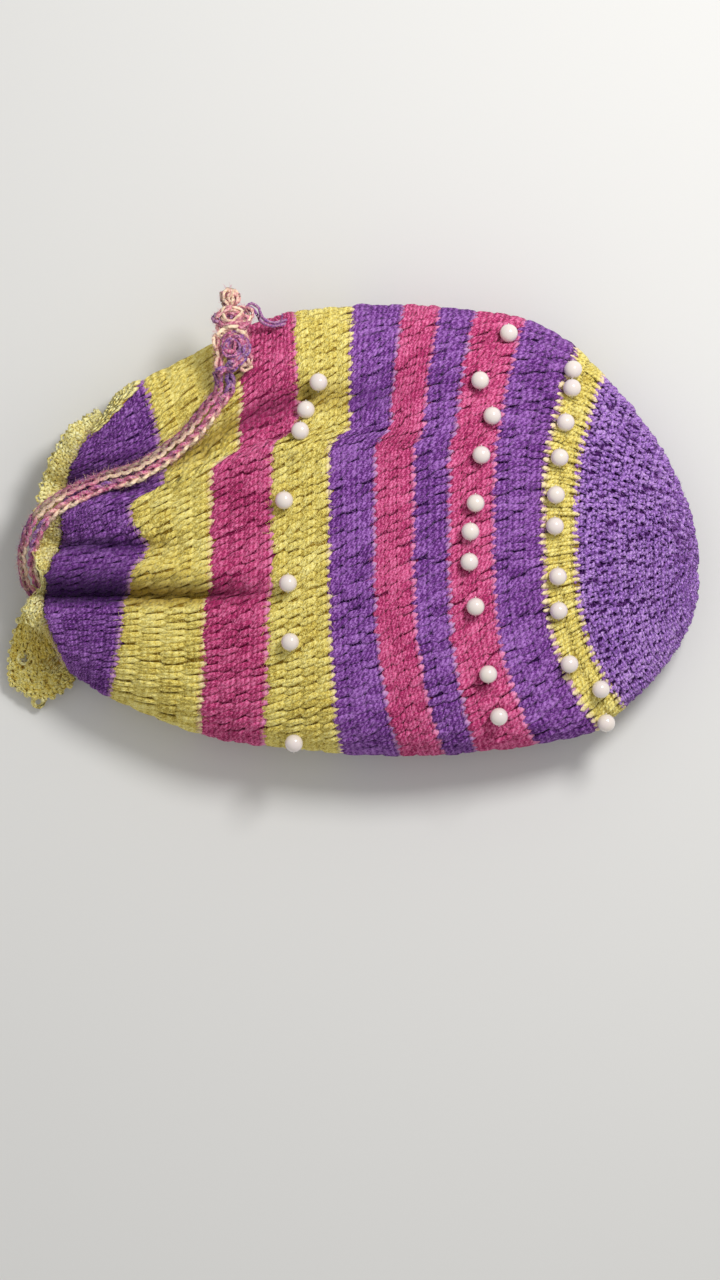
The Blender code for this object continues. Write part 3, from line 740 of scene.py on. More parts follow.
# painted light: the base takes a lighter copy of the purple yarn, standing in for the stronger light that
# falls on it
YARNS["base"] = yarn_material("purple_yarn_painted_lighter", (
    screen_colour(98, 50, 130), screen_colour(160, 108, 196), screen_colour(208, 168, 230),
), ply_shading=0.30)
edges = BASE_ROUNDS * np.linspace(0.03, 1.0, BASE_COURSES + 1)
base_counts = [max(6, int(round(STITCHES_ROUND * (edge / BASE_ROUNDS) ** 0.85))) for edge in edges[1:]]
work_stripe(
    "base_purple", base_template, edges[:-1], np.diff(edges), base_counts, "base",
    tip_start=False, tip_end=False, unevenness=0.13, twist=0.24,
)


# The edging at the mouth: yellow yarn in short open stitches, worked onto the last round, with
# small picots on its rim. It is turned back over the fabric at the upper corner, and narrows at
# the lower corner, where the flap goes on.
FRILL_GAP = 0.0005
EDGE_SMOOTHING = 8
FRILL_WIDTH = 0.0070
FRILL_RUFFLE = 0.0010
FRILL_RUFFLES = 17
FRILL_FLARE = 0.60
FLAP_NARROWING = 0.85
FLAP_DROOP = 0.0030
FLAP_TURN, FLAP_SPREAD = 0.050, 0.060
NOTCH_TURN, NOTCH_SPREAD, NOTCH_CUT = 0.178, 0.036, 0.80
TURNED_BACK_ROUNDS = 4.6
EDGE_COLUMNS = 72
FRILL_STITCHES = 104
FRILL_FIBRES = 3200
SHEET = 0.0005


def mouth_edge(turns):
    columns = np.arange(EDGE_COLUMNS) / EDGE_COLUMNS
    level = np.full(EDGE_COLUMNS, float(LAST_ROUND))
    outer = fabric_points(level, columns)
    inner = fabric_points(level, columns, FABRIC)
    middle = (outer + inner) / 2.0
    facing = np.cross(np.roll(middle, -1, axis=0) - np.roll(middle, 1, axis=0), outer - inner)
    facing *= -np.sign(facing[:, :1])
    for _ in range(EDGE_SMOOTHING):
        facing = (np.roll(facing, 1, axis=0) + 2.0 * facing + np.roll(facing, -1, axis=0)) / 4.0
    facing /= np.linalg.norm(facing, axis=1, keepdims=True)
    both = np.concatenate((middle, facing), axis=1)
    both = np.concatenate((both, both[:1]))
    places = np.append(columns, 1.0)
    turns = np.mod(turns, 1.0)
    read = np.stack([np.interp(turns, places, both[:, axis]) for axis in range(6)], axis=1)
    return read[:, :3], read[:, 3:]


def side_of_mouth(turns):
    """From -1 at the lower corner of the mouth to 1 at the upper one."""
    angle = even_angles(turns)
    return -np.sign(np.cos(angle)) * np.abs(np.cos(angle)) ** (2.0 / ROUNDNESS)


def frill_width(turns):
    turns = np.mod(turns, 1.0)
    from_flap = np.mod(turns - FLAP_TURN + 0.5, 1.0) - 0.5
    flap = np.exp(-((from_flap / FLAP_SPREAD) ** 4))
    notch = np.exp(-(((turns - NOTCH_TURN) / NOTCH_SPREAD) ** 2))
    back = TURNED_BACK_ROUNDS * ease(side_of_mouth(turns), 0.72, 1.0) ** 1.5
    width = FRILL_WIDTH * (1.0 - FLAP_NARROWING * flap) * (1.0 - NOTCH_CUT * notch)
    return width * (1.0 - 0.45 * back / TURNED_BACK_ROUNDS), flap, back


def frill_points(turns, share):
    root, facing = mouth_edge(turns)
    across = side_of_mouth(turns)
    beneath = np.clip(-2.0 * np.sin(even_angles(turns)), 0.0, 1.0)
    width, flap, _ = frill_width(turns)
    reach = np.clip(share, 0.0, 1.0)
    way = facing.copy()
    way[:, 1] += FRILL_FLARE * across * reach
    way /= np.linalg.norm(way, axis=1, keepdims=True)
    wave = np.sin(2.0 * pi * FRILL_RUFFLES * turns)
    rise = (wave * (1.0 - 0.5 * beneath) + 0.5 * beneath) * FRILL_RUFFLE * share
    rise = rise - FLAP_DROOP * flap * np.maximum(share, 0.0) ** 1.5
    points = root + facing * FRILL_GAP + way * (width * share)[:, None]
    points[:, 2] += rise
    return points


def on_frill(turns, share, heights):
    """Points on the edging; shares below 0 lie on the fabric where the edging is turned back."""
    points = frill_points(turns, np.maximum(share, 0.0))
    outward = frill_points(turns, np.maximum(share, 0.0) + 0.05) - points
    around = frill_points(turns + 0.002, share) - frill_points(turns - 0.002, share)
    normals = np.cross(around, outward)
    normals /= np.maximum(np.linalg.norm(normals, axis=1, keepdims=True), 1e-12)
    beyond = points + normals * heights[:, None]
    _, _, back = frill_width(turns)
    rounds = LAST_ROUND - 0.2 + np.minimum(share, 0.0) * np.maximum(back, 0.001)
    turned = on_fabric(rounds, turns, heights + 0.0014 * ease(back, 0.0, 0.5))
    blend = ease(share, -0.25, 0.35)[:, None]
    blend = np.where(back[:, None] < 0.05, 1.0, blend)
    return turned * (1.0 - blend) + beyond * blend


def frill_light(share, flaps):
    """The foot of the edging lies in shadow, more so beside the flap."""
    foot = np.where(share < 0.0, 0.94, np.clip(0.66 + 0.5 * share, 0.5, 1.0))
    return foot * (1.0 - 0.45 * flaps)


FRILL_STRANDS = (
    ((-0.35, 0.00, -0.30), (0.45, -0.22, 0.30), (1.10, -0.36, 0.05)),
    ((-0.35, 0.10, -0.30), (0.45, 0.30, 0.25), (1.10, 0.44, 0.00)),
    ((0.90, -0.62, 0.00), (1.05, 0.00, 0.42), (0.90, 0.62, 0.00)),
)
PICOT_STRANDS = (
    ((-0.20, -0.40, 0.00), (0.35, -0.52, 0.15), (0.72, 0.00, 0.20), (0.35, 0.52, 0.10),
     (-0.20, 0.40, -0.10)),
)
FRILL_STRAND_RADIUS = 0.56
PICOT_STRAND_RADIUS = 0.42
FRILL_ROW_MM, FRILL_PITCH_MM = 2.1, 2.0
FRILL_COLOURS = (
    screen_colour(168, 128, 34), screen_colour(242, 228, 134), screen_colour(254, 250, 200),
)


def in_millimetres(strands):
    return [[(u * FRILL_ROW_MM, v * FRILL_PITCH_MM, w) for u, v, w in strand] for strand in strands]


def frill_piece(name, template, columns, first_shares, row_shares, shades):
    count = len(columns)
    mesh, points = copies_of(template, count)
    wander = draw.normal(0.0, 1.0, (count, 3))
    points = points + draw.normal(0.0, 0.06, points.shape)
    u = points[:, :, 0] / FRILL_ROW_MM * (1.0 + 0.10 * wander[:, :1])
    v = points[:, :, 1] / FRILL_PITCH_MM + 0.14 * wander[:, 1:2]
    w = points[:, :, 2] + 0.12 * wander[:, 2:3]
    turns = (columns[:, None] + v) / FRILL_STITCHES
    shares = first_shares[:, None] + u * row_shares[:, None]
    laid = on_frill(turns.ravel(), shares.ravel(), w.ravel() / 1000.0)
    place_points(mesh, laid)
    _, flaps, _ = frill_width(turns.ravel())
    # painted shade: the low parts of the stitches and the edging's foot are darkened
    add_values(mesh, depth=np.clip(points[:, :, 2] + 0.9, 0.0, 1.0), tip=0.0,
               shade=np.repeat(shades, points.shape[1]), fold=frill_light(shares.ravel(), flaps))
    show(name, mesh, [FRILL_YARN], "yellow_yarn", "mouth_frill")


FRILL_YARN = yarn_material("frill_yarn", FRILL_COLOURS)
FRILL_GROUND = ground_material("frill_ground", FRILL_COLOURS)
all_columns = np.arange(FRILL_STITCHES)
widths, flaps, backs = frill_width(all_columns / FRILL_STITCHES)
outer_rows = np.maximum(2, np.round(widths * 1000.0 / FRILL_ROW_MM).astype(int))
back_rows = np.round(backs * ROUND_LENGTH / FRILL_ROW_MM).astype(int)
columns, first_shares, row_shares = [], [], []
for column_number in all_columns:
    for row in range(-back_rows[column_number], outer_rows[column_number]):
        many = outer_rows[column_number] if row >= 0 else back_rows[column_number]
        columns.append(column_number + 0.5 * (row % 2))
        first_shares.append(row / many)
        row_shares.append(1.0 / many)
columns, first_shares, row_shares = (np.array(rows) for rows in (columns, first_shares, row_shares))
frill_template = make_template("frill_stitch", in_millimetres(FRILL_STRANDS), FRILL_STRAND_RADIUS)
frill_piece("frill_stitches", frill_template, columns, first_shares, row_shares,
            draw.random(len(columns)))
picot_columns = all_columns[::2]
picot_template = make_template("picot", in_millimetres(PICOT_STRANDS), PICOT_STRAND_RADIUS, sides=4)
frill_piece("frill_picots", picot_template, picot_columns + 0.5, np.full(len(picot_columns), 1.0),
            1.0 / outer_rows[::2], draw.random(len(picot_columns)))

bm = bmesh.new()
verts, flat, layer = flat_sheet(bm, 14, FRILL_STITCHES)
turns, shares = flat[:, 1], 2.0 * flat[:, 0] - 1.0
_, flaps, backs = frill_width(turns)
shares = np.where((shares < 0.0) & (backs < 0.3), 0.02 * (shares + 1.0), shares)
laid = on_frill(turns, shares, np.full(len(turns), -0.0001))
lay_sheet(verts, laid, layer, frill_light(shares, flaps))
bmesh.ops.solidify(bm, geom=list(bm.faces), thickness=SHEET)
show("frill_ground", mesh_of("frill_ground", bm), [FRILL_GROUND], "yellow_yarn", "mouth_frill")

fibre_turns = draw.random(FRILL_FIBRES)
fibre_shares = draw.random(FRILL_FIBRES) ** 0.8 * 1.05
heights = np.full(FRILL_FIBRES, 0.0004)
roots = on_frill(fibre_turns, fibre_shares, heights)
sideways = on_frill(fibre_turns + 0.002, fibre_shares, heights) - roots
outward = np.cross(sideways, on_frill(fibre_turns, fibre_shares + 0.05, heights) - roots)
outward /= np.maximum(np.linalg.norm(outward, axis=1, keepdims=True), 1e-12)
_, flaps, _ = frill_width(fibre_turns)
loose_fibres("fibres_frill", roots, outward, FRILL_YARN, "yellow_yarn", "mouth_frill",
             frill_light(fibre_shares, flaps))


# The flap: at the lower corner of the mouth the edging goes on as a longer tab of the same open
# stitches, worked on both faces. It hangs out and down beside the pouch, with picots on its rim
# and a small hole.
FLAP_LEFT = (
    (-95.6, -16.4, 11.6), (-102.2, -24.4, 9.6), (-106.2, -34.8, 6.6), (-107.0, -43.0, 4.2),
    (-106.2, -48.4, 3.2),
)
FLAP_RIGHT = (
    (-92.6, -21.2, 11.0), (-93.4, -28.6, 9.6), (-91.8, -36.8, 7.4), (-89.4, -42.4, 5.2),
    (-86.6, -46.4, 3.6),
)
FLAP_BULGE, FLAP_CROWN = 0.0046, 0.0012
FLAP_ROWS, FLAP_COLUMNS = 15, 8
FLAP_HOLE, FLAP_HOLE_RADIUS = (-0.1027, -0.0398), 0.0016
RIM_LOOPS = 12
PICOT_LOOP_RADIUS = 0.00052
LARGE_PICOT = (-0.0985, -0.0534, 0.0026)
FLAP_FIBRES = 1300


def flap_points(down, across, heights):
    """Points on the flap: from its root at 0 to its lower rim at 1, and from left to right."""
    places = np.linspace(0.0, 1.0, len(FLAP_LEFT))
    sides = []
    for side in (FLAP_LEFT, FLAP_RIGHT):
        rows = np.asarray(side) / 1000.0
        axes = [smooth_through(places, rows[:, axis], down) for axis in range(3)]
        sides.append(np.stack(axes, axis=1))
    points = sides[0] + (sides[1] - sides[0]) * across[:, None]
    bow = np.sin(pi * np.clip(across, 0.0, 1.0))
    past = np.clip(down, 0.0, 1.2)
    points[:, 1] -= FLAP_BULGE * bow * past ** 3 + 0.004 * np.maximum(down - 1.0, 0.0)
    points[:, 2] += FLAP_CROWN * bow + 0.0005 * np.sin(9.0 * down) * (1.0 - across) + heights
    return points


# painted shade: the flap is darker across its middle
def flap_light(down, across):
    middle = np.exp(-(((across - 0.6) / 0.34) ** 2) - ((down - 0.42) / 0.34) ** 2)
    return 1.0 - 0.36 * middle


def away_from_hole(points):
    return np.hypot(points[:, 0] - FLAP_HOLE[0], points[:, 1] - FLAP_HOLE[1])


FLAP_YARN = yarn_material("flap_yarn", (
    screen_colour(176, 130, 24), screen_colour(240, 220, 104), screen_colour(254, 246, 176),
))
FLAP_GROUND = ground_material("flap_ground", (
    screen_colour(146, 102, 10), screen_colour(206, 172, 54), screen_colour(248, 236, 148),
))
rows, columns = np.meshgrid(np.arange(FLAP_ROWS), np.arange(FLAP_COLUMNS))
rows, columns = rows.ravel(), columns.ravel()
centres = flap_points((rows + 0.5) / FLAP_ROWS, (columns + 0.5) / FLAP_COLUMNS, 0.0)
kept = away_from_hole(centres) > 1.2 * FLAP_HOLE_RADIUS
rows, columns = np.tile(rows[kept], 2), np.tile(columns[kept], 2)
faces_up = np.repeat((1.0, -1.0), len(rows) // 2)[:, None]
mesh, points = copies_of(frill_template, len(rows))
wander = draw.normal(0.0, 1.0, (len(rows), 3))
points = points + draw.normal(0.0, 0.09, points.shape)
down = (rows[:, None] + 0.1 + points[:, :, 0] / FRILL_ROW_MM + 0.10 * wander[:, :1]) / FLAP_ROWS
across = columns[:, None] + 0.5 * (rows[:, None] % 2) + 0.3
across = (across + faces_up * points[:, :, 1] / FRILL_PITCH_MM) / FLAP_COLUMNS
across = np.clip(across + 0.02 * wander[:, 1:2], -0.03, 1.0)
heights = faces_up * (points[:, :, 2] + 0.15 + 0.14 * wander[:, 2:3])
heights = heights - np.where(faces_up > 0.0, 0.0, 0.3)
place_points(mesh, flap_points(down.ravel(), across.ravel(), heights.ravel() / 1000.0))
# painted shade in the low parts of the stitches and across the flap's middle
add_values(mesh, depth=np.clip(points[:, :, 2] + STITCH_FOOT, 0.0, 1.0), tip=0.0,
           shade=np.repeat(draw.random(len(rows)), points.shape[1]), fold=flap_light(down, across))
show("flap_stitches", mesh, [FLAP_YARN], "yellow_yarn", "mouth_frill")

bm = bmesh.new()
verts, flat, layer = flat_sheet(bm, 40, 24)
laid = flap_points(flat[:, 0], flat[:, 1], -0.0001)
lay_sheet(verts, laid, layer, flap_light(flat[:, 0], flat[:, 1]))
open_faces = [face for face in bm.faces
              if away_from_hole(np.array([face.calc_center_median()]))[0] < FLAP_HOLE_RADIUS]
bmesh.ops.delete(bm, geom=open_faces, context="FACES")
bmesh.ops.solidify(bm, geom=list(bm.faces), thickness=SHEET)
show("flap_ground", mesh_of("flap_ground", bm), [FLAP_GROUND], "yellow_yarn", "mouth_frill")

bm = bmesh.new()
rim_down = np.append(np.linspace(0.10, 0.98, RIM_LOOPS), np.full(7, 1.02))
rim_across = np.append(np.full(RIM_LOOPS, -0.02), np.linspace(0.08, 0.90, 7))
loops = [(point, 0.0004 + 0.0003 * draw.random()) for point in flap_points(rim_down, rim_across, 0.0003)]
loops += [(LARGE_PICOT, 0.0019), (LARGE_PICOT, 0.0014)]
loops.append(((*FLAP_HOLE, 0.0066), 0.0018))
for centre, radius in loops:
    first = 2.0 * pi * draw.random()
    ring = []
    for angle in np.linspace(0.0, 2.1 * pi, 11):
        spoke = (radius * cos(first + angle), radius * sin(first + angle), 0.0003 * sin(2.0 * angle))
        ring.append(Vector(centre) + Vector(spoke))
    yarn_strand(bm, ring, PICOT_LOOP_RADIUS)
mesh = mesh_of("flap_picots", bm)
add_values(mesh, depth=0.95, fold=0.95, tip=0.0, shade=draw.random(len(mesh.vertices)))
show("flap_picots", mesh, [FRILL_YARN], "yellow_yarn", "mouth_frill")

down, across = draw.random(FLAP_FIBRES), draw.random(FLAP_FIBRES)
faces_up = np.where(draw.random(FLAP_FIBRES) < 0.7, 1.0, -1.0)
roots = flap_points(down, across, 0.0005 * faces_up)
outward = faces_up[:, None] * np.array((0.0, 0.0, 1.0))
loose_fibres("fibres_flap", roots, outward, FLAP_YARN, "yellow_yarn", "mouth_frill",
             flap_light(down, across))


# The beads: round plastic pearls with a fine bore, each sewn down with a pale thread that goes
# through it and into the fabric on both sides. They lie in three rows, also underneath.
PEARL_RADIUS = 0.0028
PEARL_BORE_RADIUS = 0.0005
PEARL_STEPS, PEARL_PROFILE = 28, 15
THREAD_RADIUS = 0.00020
THREAD_DEPTH, THREAD_TURN = 0.0036, 0.0012
PEARL_ROWS = (
    ("yellow_row", 7), ("pink_row", 10), ("base_row", 11),
    ("yellow_row_back", 7), ("pink_row_back", 9), ("base_row_back", 8),
)


def pearl_material():
    material, tree, shader = new_shader("pearl", 0.20)
    shader.inputs["Coat Weight"].default_value = 1.0
    shader.inputs["Coat Roughness"].default_value = 0.05
    shader.inputs["Sheen Weight"].default_value = 0.1
    place = tree.nodes.new("ShaderNodeTexCoord").outputs["Object"]
    clouds = noise(tree, place, 260.0)
    colour = mix_colour(tree, clouds, screen_colour(228, 219, 200), screen_colour(216, 200, 205))
    tree.links.new(colour, shader.inputs["Base Color"])
    fuzzy_bump(tree, shader, noise(tree, place, 700.0), 0.08, 0.0002)
    return material


def thread_material():
    material, tree, shader = new_shader("sewing_thread", 0.7)
    place = tree.nodes.new("ShaderNodeTexCoord").outputs["Object"]
    fibres = noise(tree, place, 2500.0)
    colour = mix_colour(tree, fibres, screen_colour(214, 200, 190), screen_colour(244, 238, 230))
    tree.links.new(colour, shader.inputs["Base Color"])
    return material


def add_pearl(bm, centre):
    start = np.arcsin(PEARL_BORE_RADIUS / PEARL_RADIUS)
    profile = []
    for angle in np.linspace(start, pi - start, PEARL_PROFILE):
        profile.append(bm.verts.new((PEARL_RADIUS * sin(angle), 0.0, PEARL_RADIUS * cos(angle))))
    edges = [bm.edges.new(pair) for pair in zip(profile, profile[1:])]
    edges.append(bm.edges.new((profile[-1], profile[0])))
    bmesh.ops.spin(
        bm, geom=profile + edges, axis=(0.0, 0.0, 1.0), cent=(0.0, 0.0, 0.0),
        angle=2.0 * pi, steps=PEARL_STEPS, use_merge=True,
    )
    fresh = [corner for corner in bm.verts if not corner.tag]
    place = Matrix.Translation(centre) @ Matrix.Rotation(pi / 2.0, 4, "X")
    bmesh.ops.transform(bm, matrix=place, verts=fresh)
    for corner in fresh:
        corner.tag = True


PEARL, THREAD = pearl_material(), thread_material()
for row_name, count in PEARL_ROWS:
    bm = bmesh.new()
    thread_bm = bmesh.new()
    nodes_replaced = [f"pearl_{row_name}_{number:02d}" for number in range(1, count + 1)]
    for node in nodes_replaced:
        low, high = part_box(node)
        centre = (Vector(low) + Vector(high)) / 2.0
        add_pearl(bm, centre)
        down = -1.0 if "back" not in row_name else 1.0
        reach = PEARL_RADIUS * 1.06
        half = [(reach, down * THREAD_DEPTH), (reach, down * THREAD_TURN), (reach * 0.85, 0.0)]
        path = [centre + Vector((0.0, -y, z)) for y, z in half]
        path += [centre + Vector((0.0, y, z)) for y, z in half[::-1]]
        yarn_strand(thread_bm, path, THREAD_RADIUS, 4)
    show(f"pearls_{row_name}", mesh_of("pearls", bm), [PEARL], "pearl", *nodes_replaced)
    show(f"threads_{row_name}", mesh_of("threads", thread_bm), [THREAD], "pearl")


# The drawstring: one crocheted chain of variegated yarn. It runs from the knot over the mouth in
# two strands side by side, goes in under the edging and once round inside the mouth.
CORD_STEPS = 74
STRAND_SPACING = 0.0036
PAIR_ROUTE = (
    (-0.0390, 0.0440, 0.0337), (-0.0412, 0.0408, 0.0339), (-0.0445, 0.0360, 0.0338),
    (-0.0484, 0.0308, 0.0326), (-0.0532, 0.0265, 0.0308), (-0.0583, 0.0226, 0.0302),
    (-0.0637, 0.0191, 0.0314), (-0.0695, 0.0168, 0.0296), (-0.0755, 0.0154, 0.0279),
    (-0.0813, 0.0132, 0.0284), (-0.0871, 0.0105, 0.0302), (-0.0925, 0.0071, 0.0305),
    (-0.0969, 0.0029, 0.0294), (-0.0995, -0.0022, 0.0266), (-0.1009, -0.0085, 0.0205),
    (-0.1008, -0.0135, 0.0168), (-0.0993, -0.0175, 0.0142), (-0.0960, -0.0206, 0.0126),
    (-0.0920, -0.0218, 0.0116), (-0.0880, -0.0220, 0.0108),
)
CORD_ENDS = ((-0.03820, 0.04870, 0.03460), (-0.04195, 0.04855, 0.03460))
LOOP_ROUTE = (
    (-0.0843, -0.0180, 0.0092), (-0.0815, -0.0110, 0.0071), (-0.0788, -0.0010, 0.0060),
    (-0.0763, 0.0100, 0.0060), (-0.0738, 0.0190, 0.0060), (-0.0714, 0.0255, 0.0063),
    (-0.0692, 0.0310, 0.0077), (-0.0680, 0.0338, 0.0108), (-0.0680, 0.0338, 0.0146),
    (-0.0692, 0.0310, 0.0178), (-0.0710, 0.0255, 0.0190), (-0.0728, 0.0190, 0.0188),
    (-0.0742, 0.0110, 0.0185), (-0.0752, 0.0020, 0.0190), (-0.0758, -0.0060, 0.0182),
    (-0.0758, -0.0140, 0.0180), (-0.0752, -0.0225, 0.0176), (-0.0740, -0.0300, 0.0192),
    (-0.0733, -0.0357, 0.0184), (-0.0732, -0.0386, 0.0155), (-0.0742, -0.0388, 0.0117),
    (-0.0763, -0.0362, 0.0088), (-0.0790, -0.0315, 0.0079), (-0.0820, -0.0262, 0.0085),
)


def read_route(points, count):
    points = np.asarray(points, float)
    gaps = np.linalg.norm(np.diff(points, axis=0), axis=1)
    places = np.concatenate(([0.0], np.cumsum(gaps)))
    fine = np.linspace(0.0, places[-1], 2000)
    curve = np.stack([smooth_through(places, points[:, axis], fine) for axis in range(3)], 1)
    lengths = np.linalg.norm(np.diff(curve, axis=0), axis=1)
    travelled = np.concatenate(([0.0], np.cumsum(lengths)))
    stops = np.linspace(0.0, travelled[-1], count)
    return np.stack([np.interp(stops, travelled, curve[:, axis]) for axis in range(3)], 1)


def drawstring_route():
    pair = np.asarray(PAIR_ROUTE)
    heading = np.gradient(pair, axis=0)
    side = np.stack((-heading[:, 1], heading[:, 0], np.zeros(len(pair))), axis=1)
    side /= np.linalg.norm(side, axis=1, keepdims=True)
    first = np.concatenate((CORD_ENDS[:1], pair + side * STRAND_SPACING / 2.0))
    second = np.concatenate((CORD_ENDS[1:], pair - side * STRAND_SPACING / 2.0))
    return np.concatenate((first, LOOP_ROUTE, second[::-1]))


def cord_yarn():
    """Yarn dyed in short lengths: purple, mauve, pink and cream follow one another."""
    material, tree, shader = soft_shader("variegated_yarn")
    place = tree.nodes.new("ShaderNodeTexCoord").outputs["Object"]
    fibres = noise(tree, place, FIBRE_SCALE, 3.0)
    ramp = tree.nodes.new("ShaderNodeValToRGB")
    stops = (
        (0.00, screen_colour(116, 66, 154)), (0.18, screen_colour(150, 88, 158)),
        (0.38, screen_colour(192, 78, 128)), (0.56, screen_colour(214, 116, 150)),
        (0.72, screen_colour(230, 164, 156)), (0.86, screen_colour(250, 224, 184)),
    )
    ramp.color_ramp.elements[0].position, ramp.color_ramp.elements[0].color = stops[0]
    ramp.color_ramp.elements[1].position, ramp.color_ramp.elements[1].color = stops[-1]
    for position, colour in stops[1:-1]:
        ramp.color_ramp.elements.new(position).color = colour
    dye = maths(tree, "ADD", read_attribute(tree, "dye"), centred(tree, fibres, 0.5))
    tree.links.new(dye, ramp.inputs[0])
    light = maths(tree, "ADD", centred(tree, fibres, 1.9), 0.12, clamp=True)
    colour = mix_colour(tree, light, ramp.outputs[0], screen_colour(252, 234, 230))
    shadow = maths(tree, "SUBTRACT", 1.0, read_attribute(tree, "depth"), clamp=True)
    colour = mix_colour(tree, shadow, colour, screen_colour(92, 36, 66))
    tree.links.new(colour, shader.inputs["Base Color"])
    ridges = ply_ridges(tree)
    height = maths(tree, "ADD", maths(tree, "MULTIPLY", ridges, 0.35), fibres)
    fuzzy_bump(tree, shader, height, 0.7, 0.0003)
    return material


CORD_YARN = cord_yarn()
LINK_LENGTH = 3.9
LINK_STRANDS = (
    ((-1.10, 0.10, -0.40), (0.50, 0.50, 0.55), (2.10, 1.05, 0.72), (3.70, 0.92, 0.36), (4.90, 0.25, -0.35)),
    ((-1.10, -0.10, -0.40), (0.50, -0.50, 0.55), (2.10, -1.05, 0.72), (3.70, -0.92, 0.36),
     (4.90, -0.25, -0.35)),
    ((-0.40, 0.40, -0.65), (1.60, 0.10, -0.95), (3.90, -0.40, -0.65)),
)
LINK_STRAND_RADIUS = 0.66
ROLL_LENGTH = 0.021
DYE_UNEVENNESS = 0.09
CORD_FIBRES_PER_METRE = 14000
CORD_FIBRE_ROOT = 0.0013
# dyed lengths: distance from the knot in millimetres, dye of one leg, dye of the other
DYED = np.array((
    (0, 0.10, 0.05), (6, 0.40, 0.20), (19, 0.84, 0.42), (34, 0.90, 0.40), (51, 0.90, 0.50),
    (57, 0.45, 0.08), (63, 0.65, 0.38), (70, 0.98, 0.55), (77, 0.92, 0.66), (81, 0.34, 0.04),
    (92, 0.84, 0.28), (101, 0.86, 0.36), (118, 0.40, 0.12), (140, 0.85, 0.50), (170, 0.20, 0.10),
    (202, 0.80, 0.45),
))


def dye_along(distance, total, leg):
    near = np.minimum(distance, total - distance) * 1000.0
    return np.interp(near, DYED[:, 0], DYED[:, 1 if leg > 0 else 2])


def carried_frames(fine):
    """Heading, side and up along a route, with the side carried on from point to point."""
    heading = np.gradient(fine, axis=0)
    heading /= np.linalg.norm(heading, axis=1, keepdims=True)
    side = np.cross(np.array((0.0, 0.0, 1.0)), heading)
    side[0] /= np.linalg.norm(side[0])
    for number in range(1, len(side)):
        carried = side[number - 1] - heading[number] * (side[number - 1] @ heading[number])
        side[number] = carried / np.linalg.norm(carried)
    return heading, side, np.cross(heading, side)


def chain_along(name, route, scale, roll, dye=None):
    """A crocheted chain laid along a route, so that its links bend with it, and its fibres."""
    fine = read_route(route, 1200)
    lengths = np.linalg.norm(np.diff(fine, axis=0), axis=1)
    travelled = np.concatenate(([0.0], np.cumsum(lengths)))
    heading, side, up = carried_frames(fine)
    total = travelled[-1]
    count = max(2, int(total / (LINK_LENGTH * scale / 1000.0)))
    mesh, points = copies_of(link_template, count)
    uneven = 0.05 if dye is None else 0.15
    points = points + draw.normal(0.0, uneven, points.shape)
    points = points + 2.2 * uneven * draw.normal(0.0, 1.0, (count, 1, 3))
    step = total / count
    at = np.arange(count)[:, None] * step + points[:, :, 0] * scale / 1000.0
    at = np.clip(at, 0.0, total)
    angle = roll * np.sin(at / ROLL_LENGTH)
    across = (points[:, :, 1] * np.cos(angle) - points[:, :, 2] * np.sin(angle)) * scale / 1000.0
    above = (points[:, :, 1] * np.sin(angle) + points[:, :, 2] * np.cos(angle)) * scale / 1000.0

    def read(rows, flat):
        return np.stack([np.interp(flat, travelled, rows[:, axis]) for axis in range(3)], 1)

    flat = at.ravel()
    laid = read(fine, flat) + read(side, flat) * across.ravel()[:, None]
    place_points(mesh, laid + read(up, flat) * above.ravel()[:, None])
    if dye is None:
        dyes = np.where(points[:, :, 1] > 0.0, dye_along(at, total, 1), dye_along(at, total, -1))
    else:
        dyes = np.interp(at / total, np.linspace(0.0, 1.0, len(dye)), dye)
        dyes = dyes + 0.10 * np.sign(points[:, :, 1])
    dyes = dyes + DYE_UNEVENNESS * draw.normal(0.0, 1.0, (count, 1))
    # painted shade on the chain's lower strands
    depth = np.clip((points[:, :, 2] + 1.1) / 1.4, 0.45, 1.0)
    add_values(mesh, depth=depth, dye=np.clip(dyes, 0.0, 1.0))
    node = "drawstring" if dye is None else "drawstring_knot"
    chain = show(name, mesh, [CORD_YARN], "drawstring_yarn", node)
    hairs = int(total * CORD_FIBRES_PER_METRE)
    places, angles = total * draw.random(hairs), 2.0 * pi * draw.random(hairs)
    outward = read(side, places) * np.cos(angles)[:, None] + read(up, places) * np.sin(angles)[:, None]
    outward /= np.linalg.norm(outward, axis=1, keepdims=True)
    roots = read(fine, places) + outward * CORD_FIBRE_ROOT * scale
    fibres = loose_fibres(f"fibres_{name}", roots, outward, CORD_YARN, "drawstring_yarn", node)
    hair_dyes = draw.random(hairs) if dye is None else np.full(hairs, np.mean(dye))
    add_values(fibres.data, dye=np.repeat(hair_dyes, len(fibres.data.vertices) // hairs))
    return chain, fibres


link_template = make_template("chain_link", LINK_STRANDS, LINK_STRAND_RADIUS)
route = read_route(drawstring_route(), CORD_STEPS)
drawstring, drawstring_fibres = chain_along("drawstring_chain", route, 1.0, 0.25)


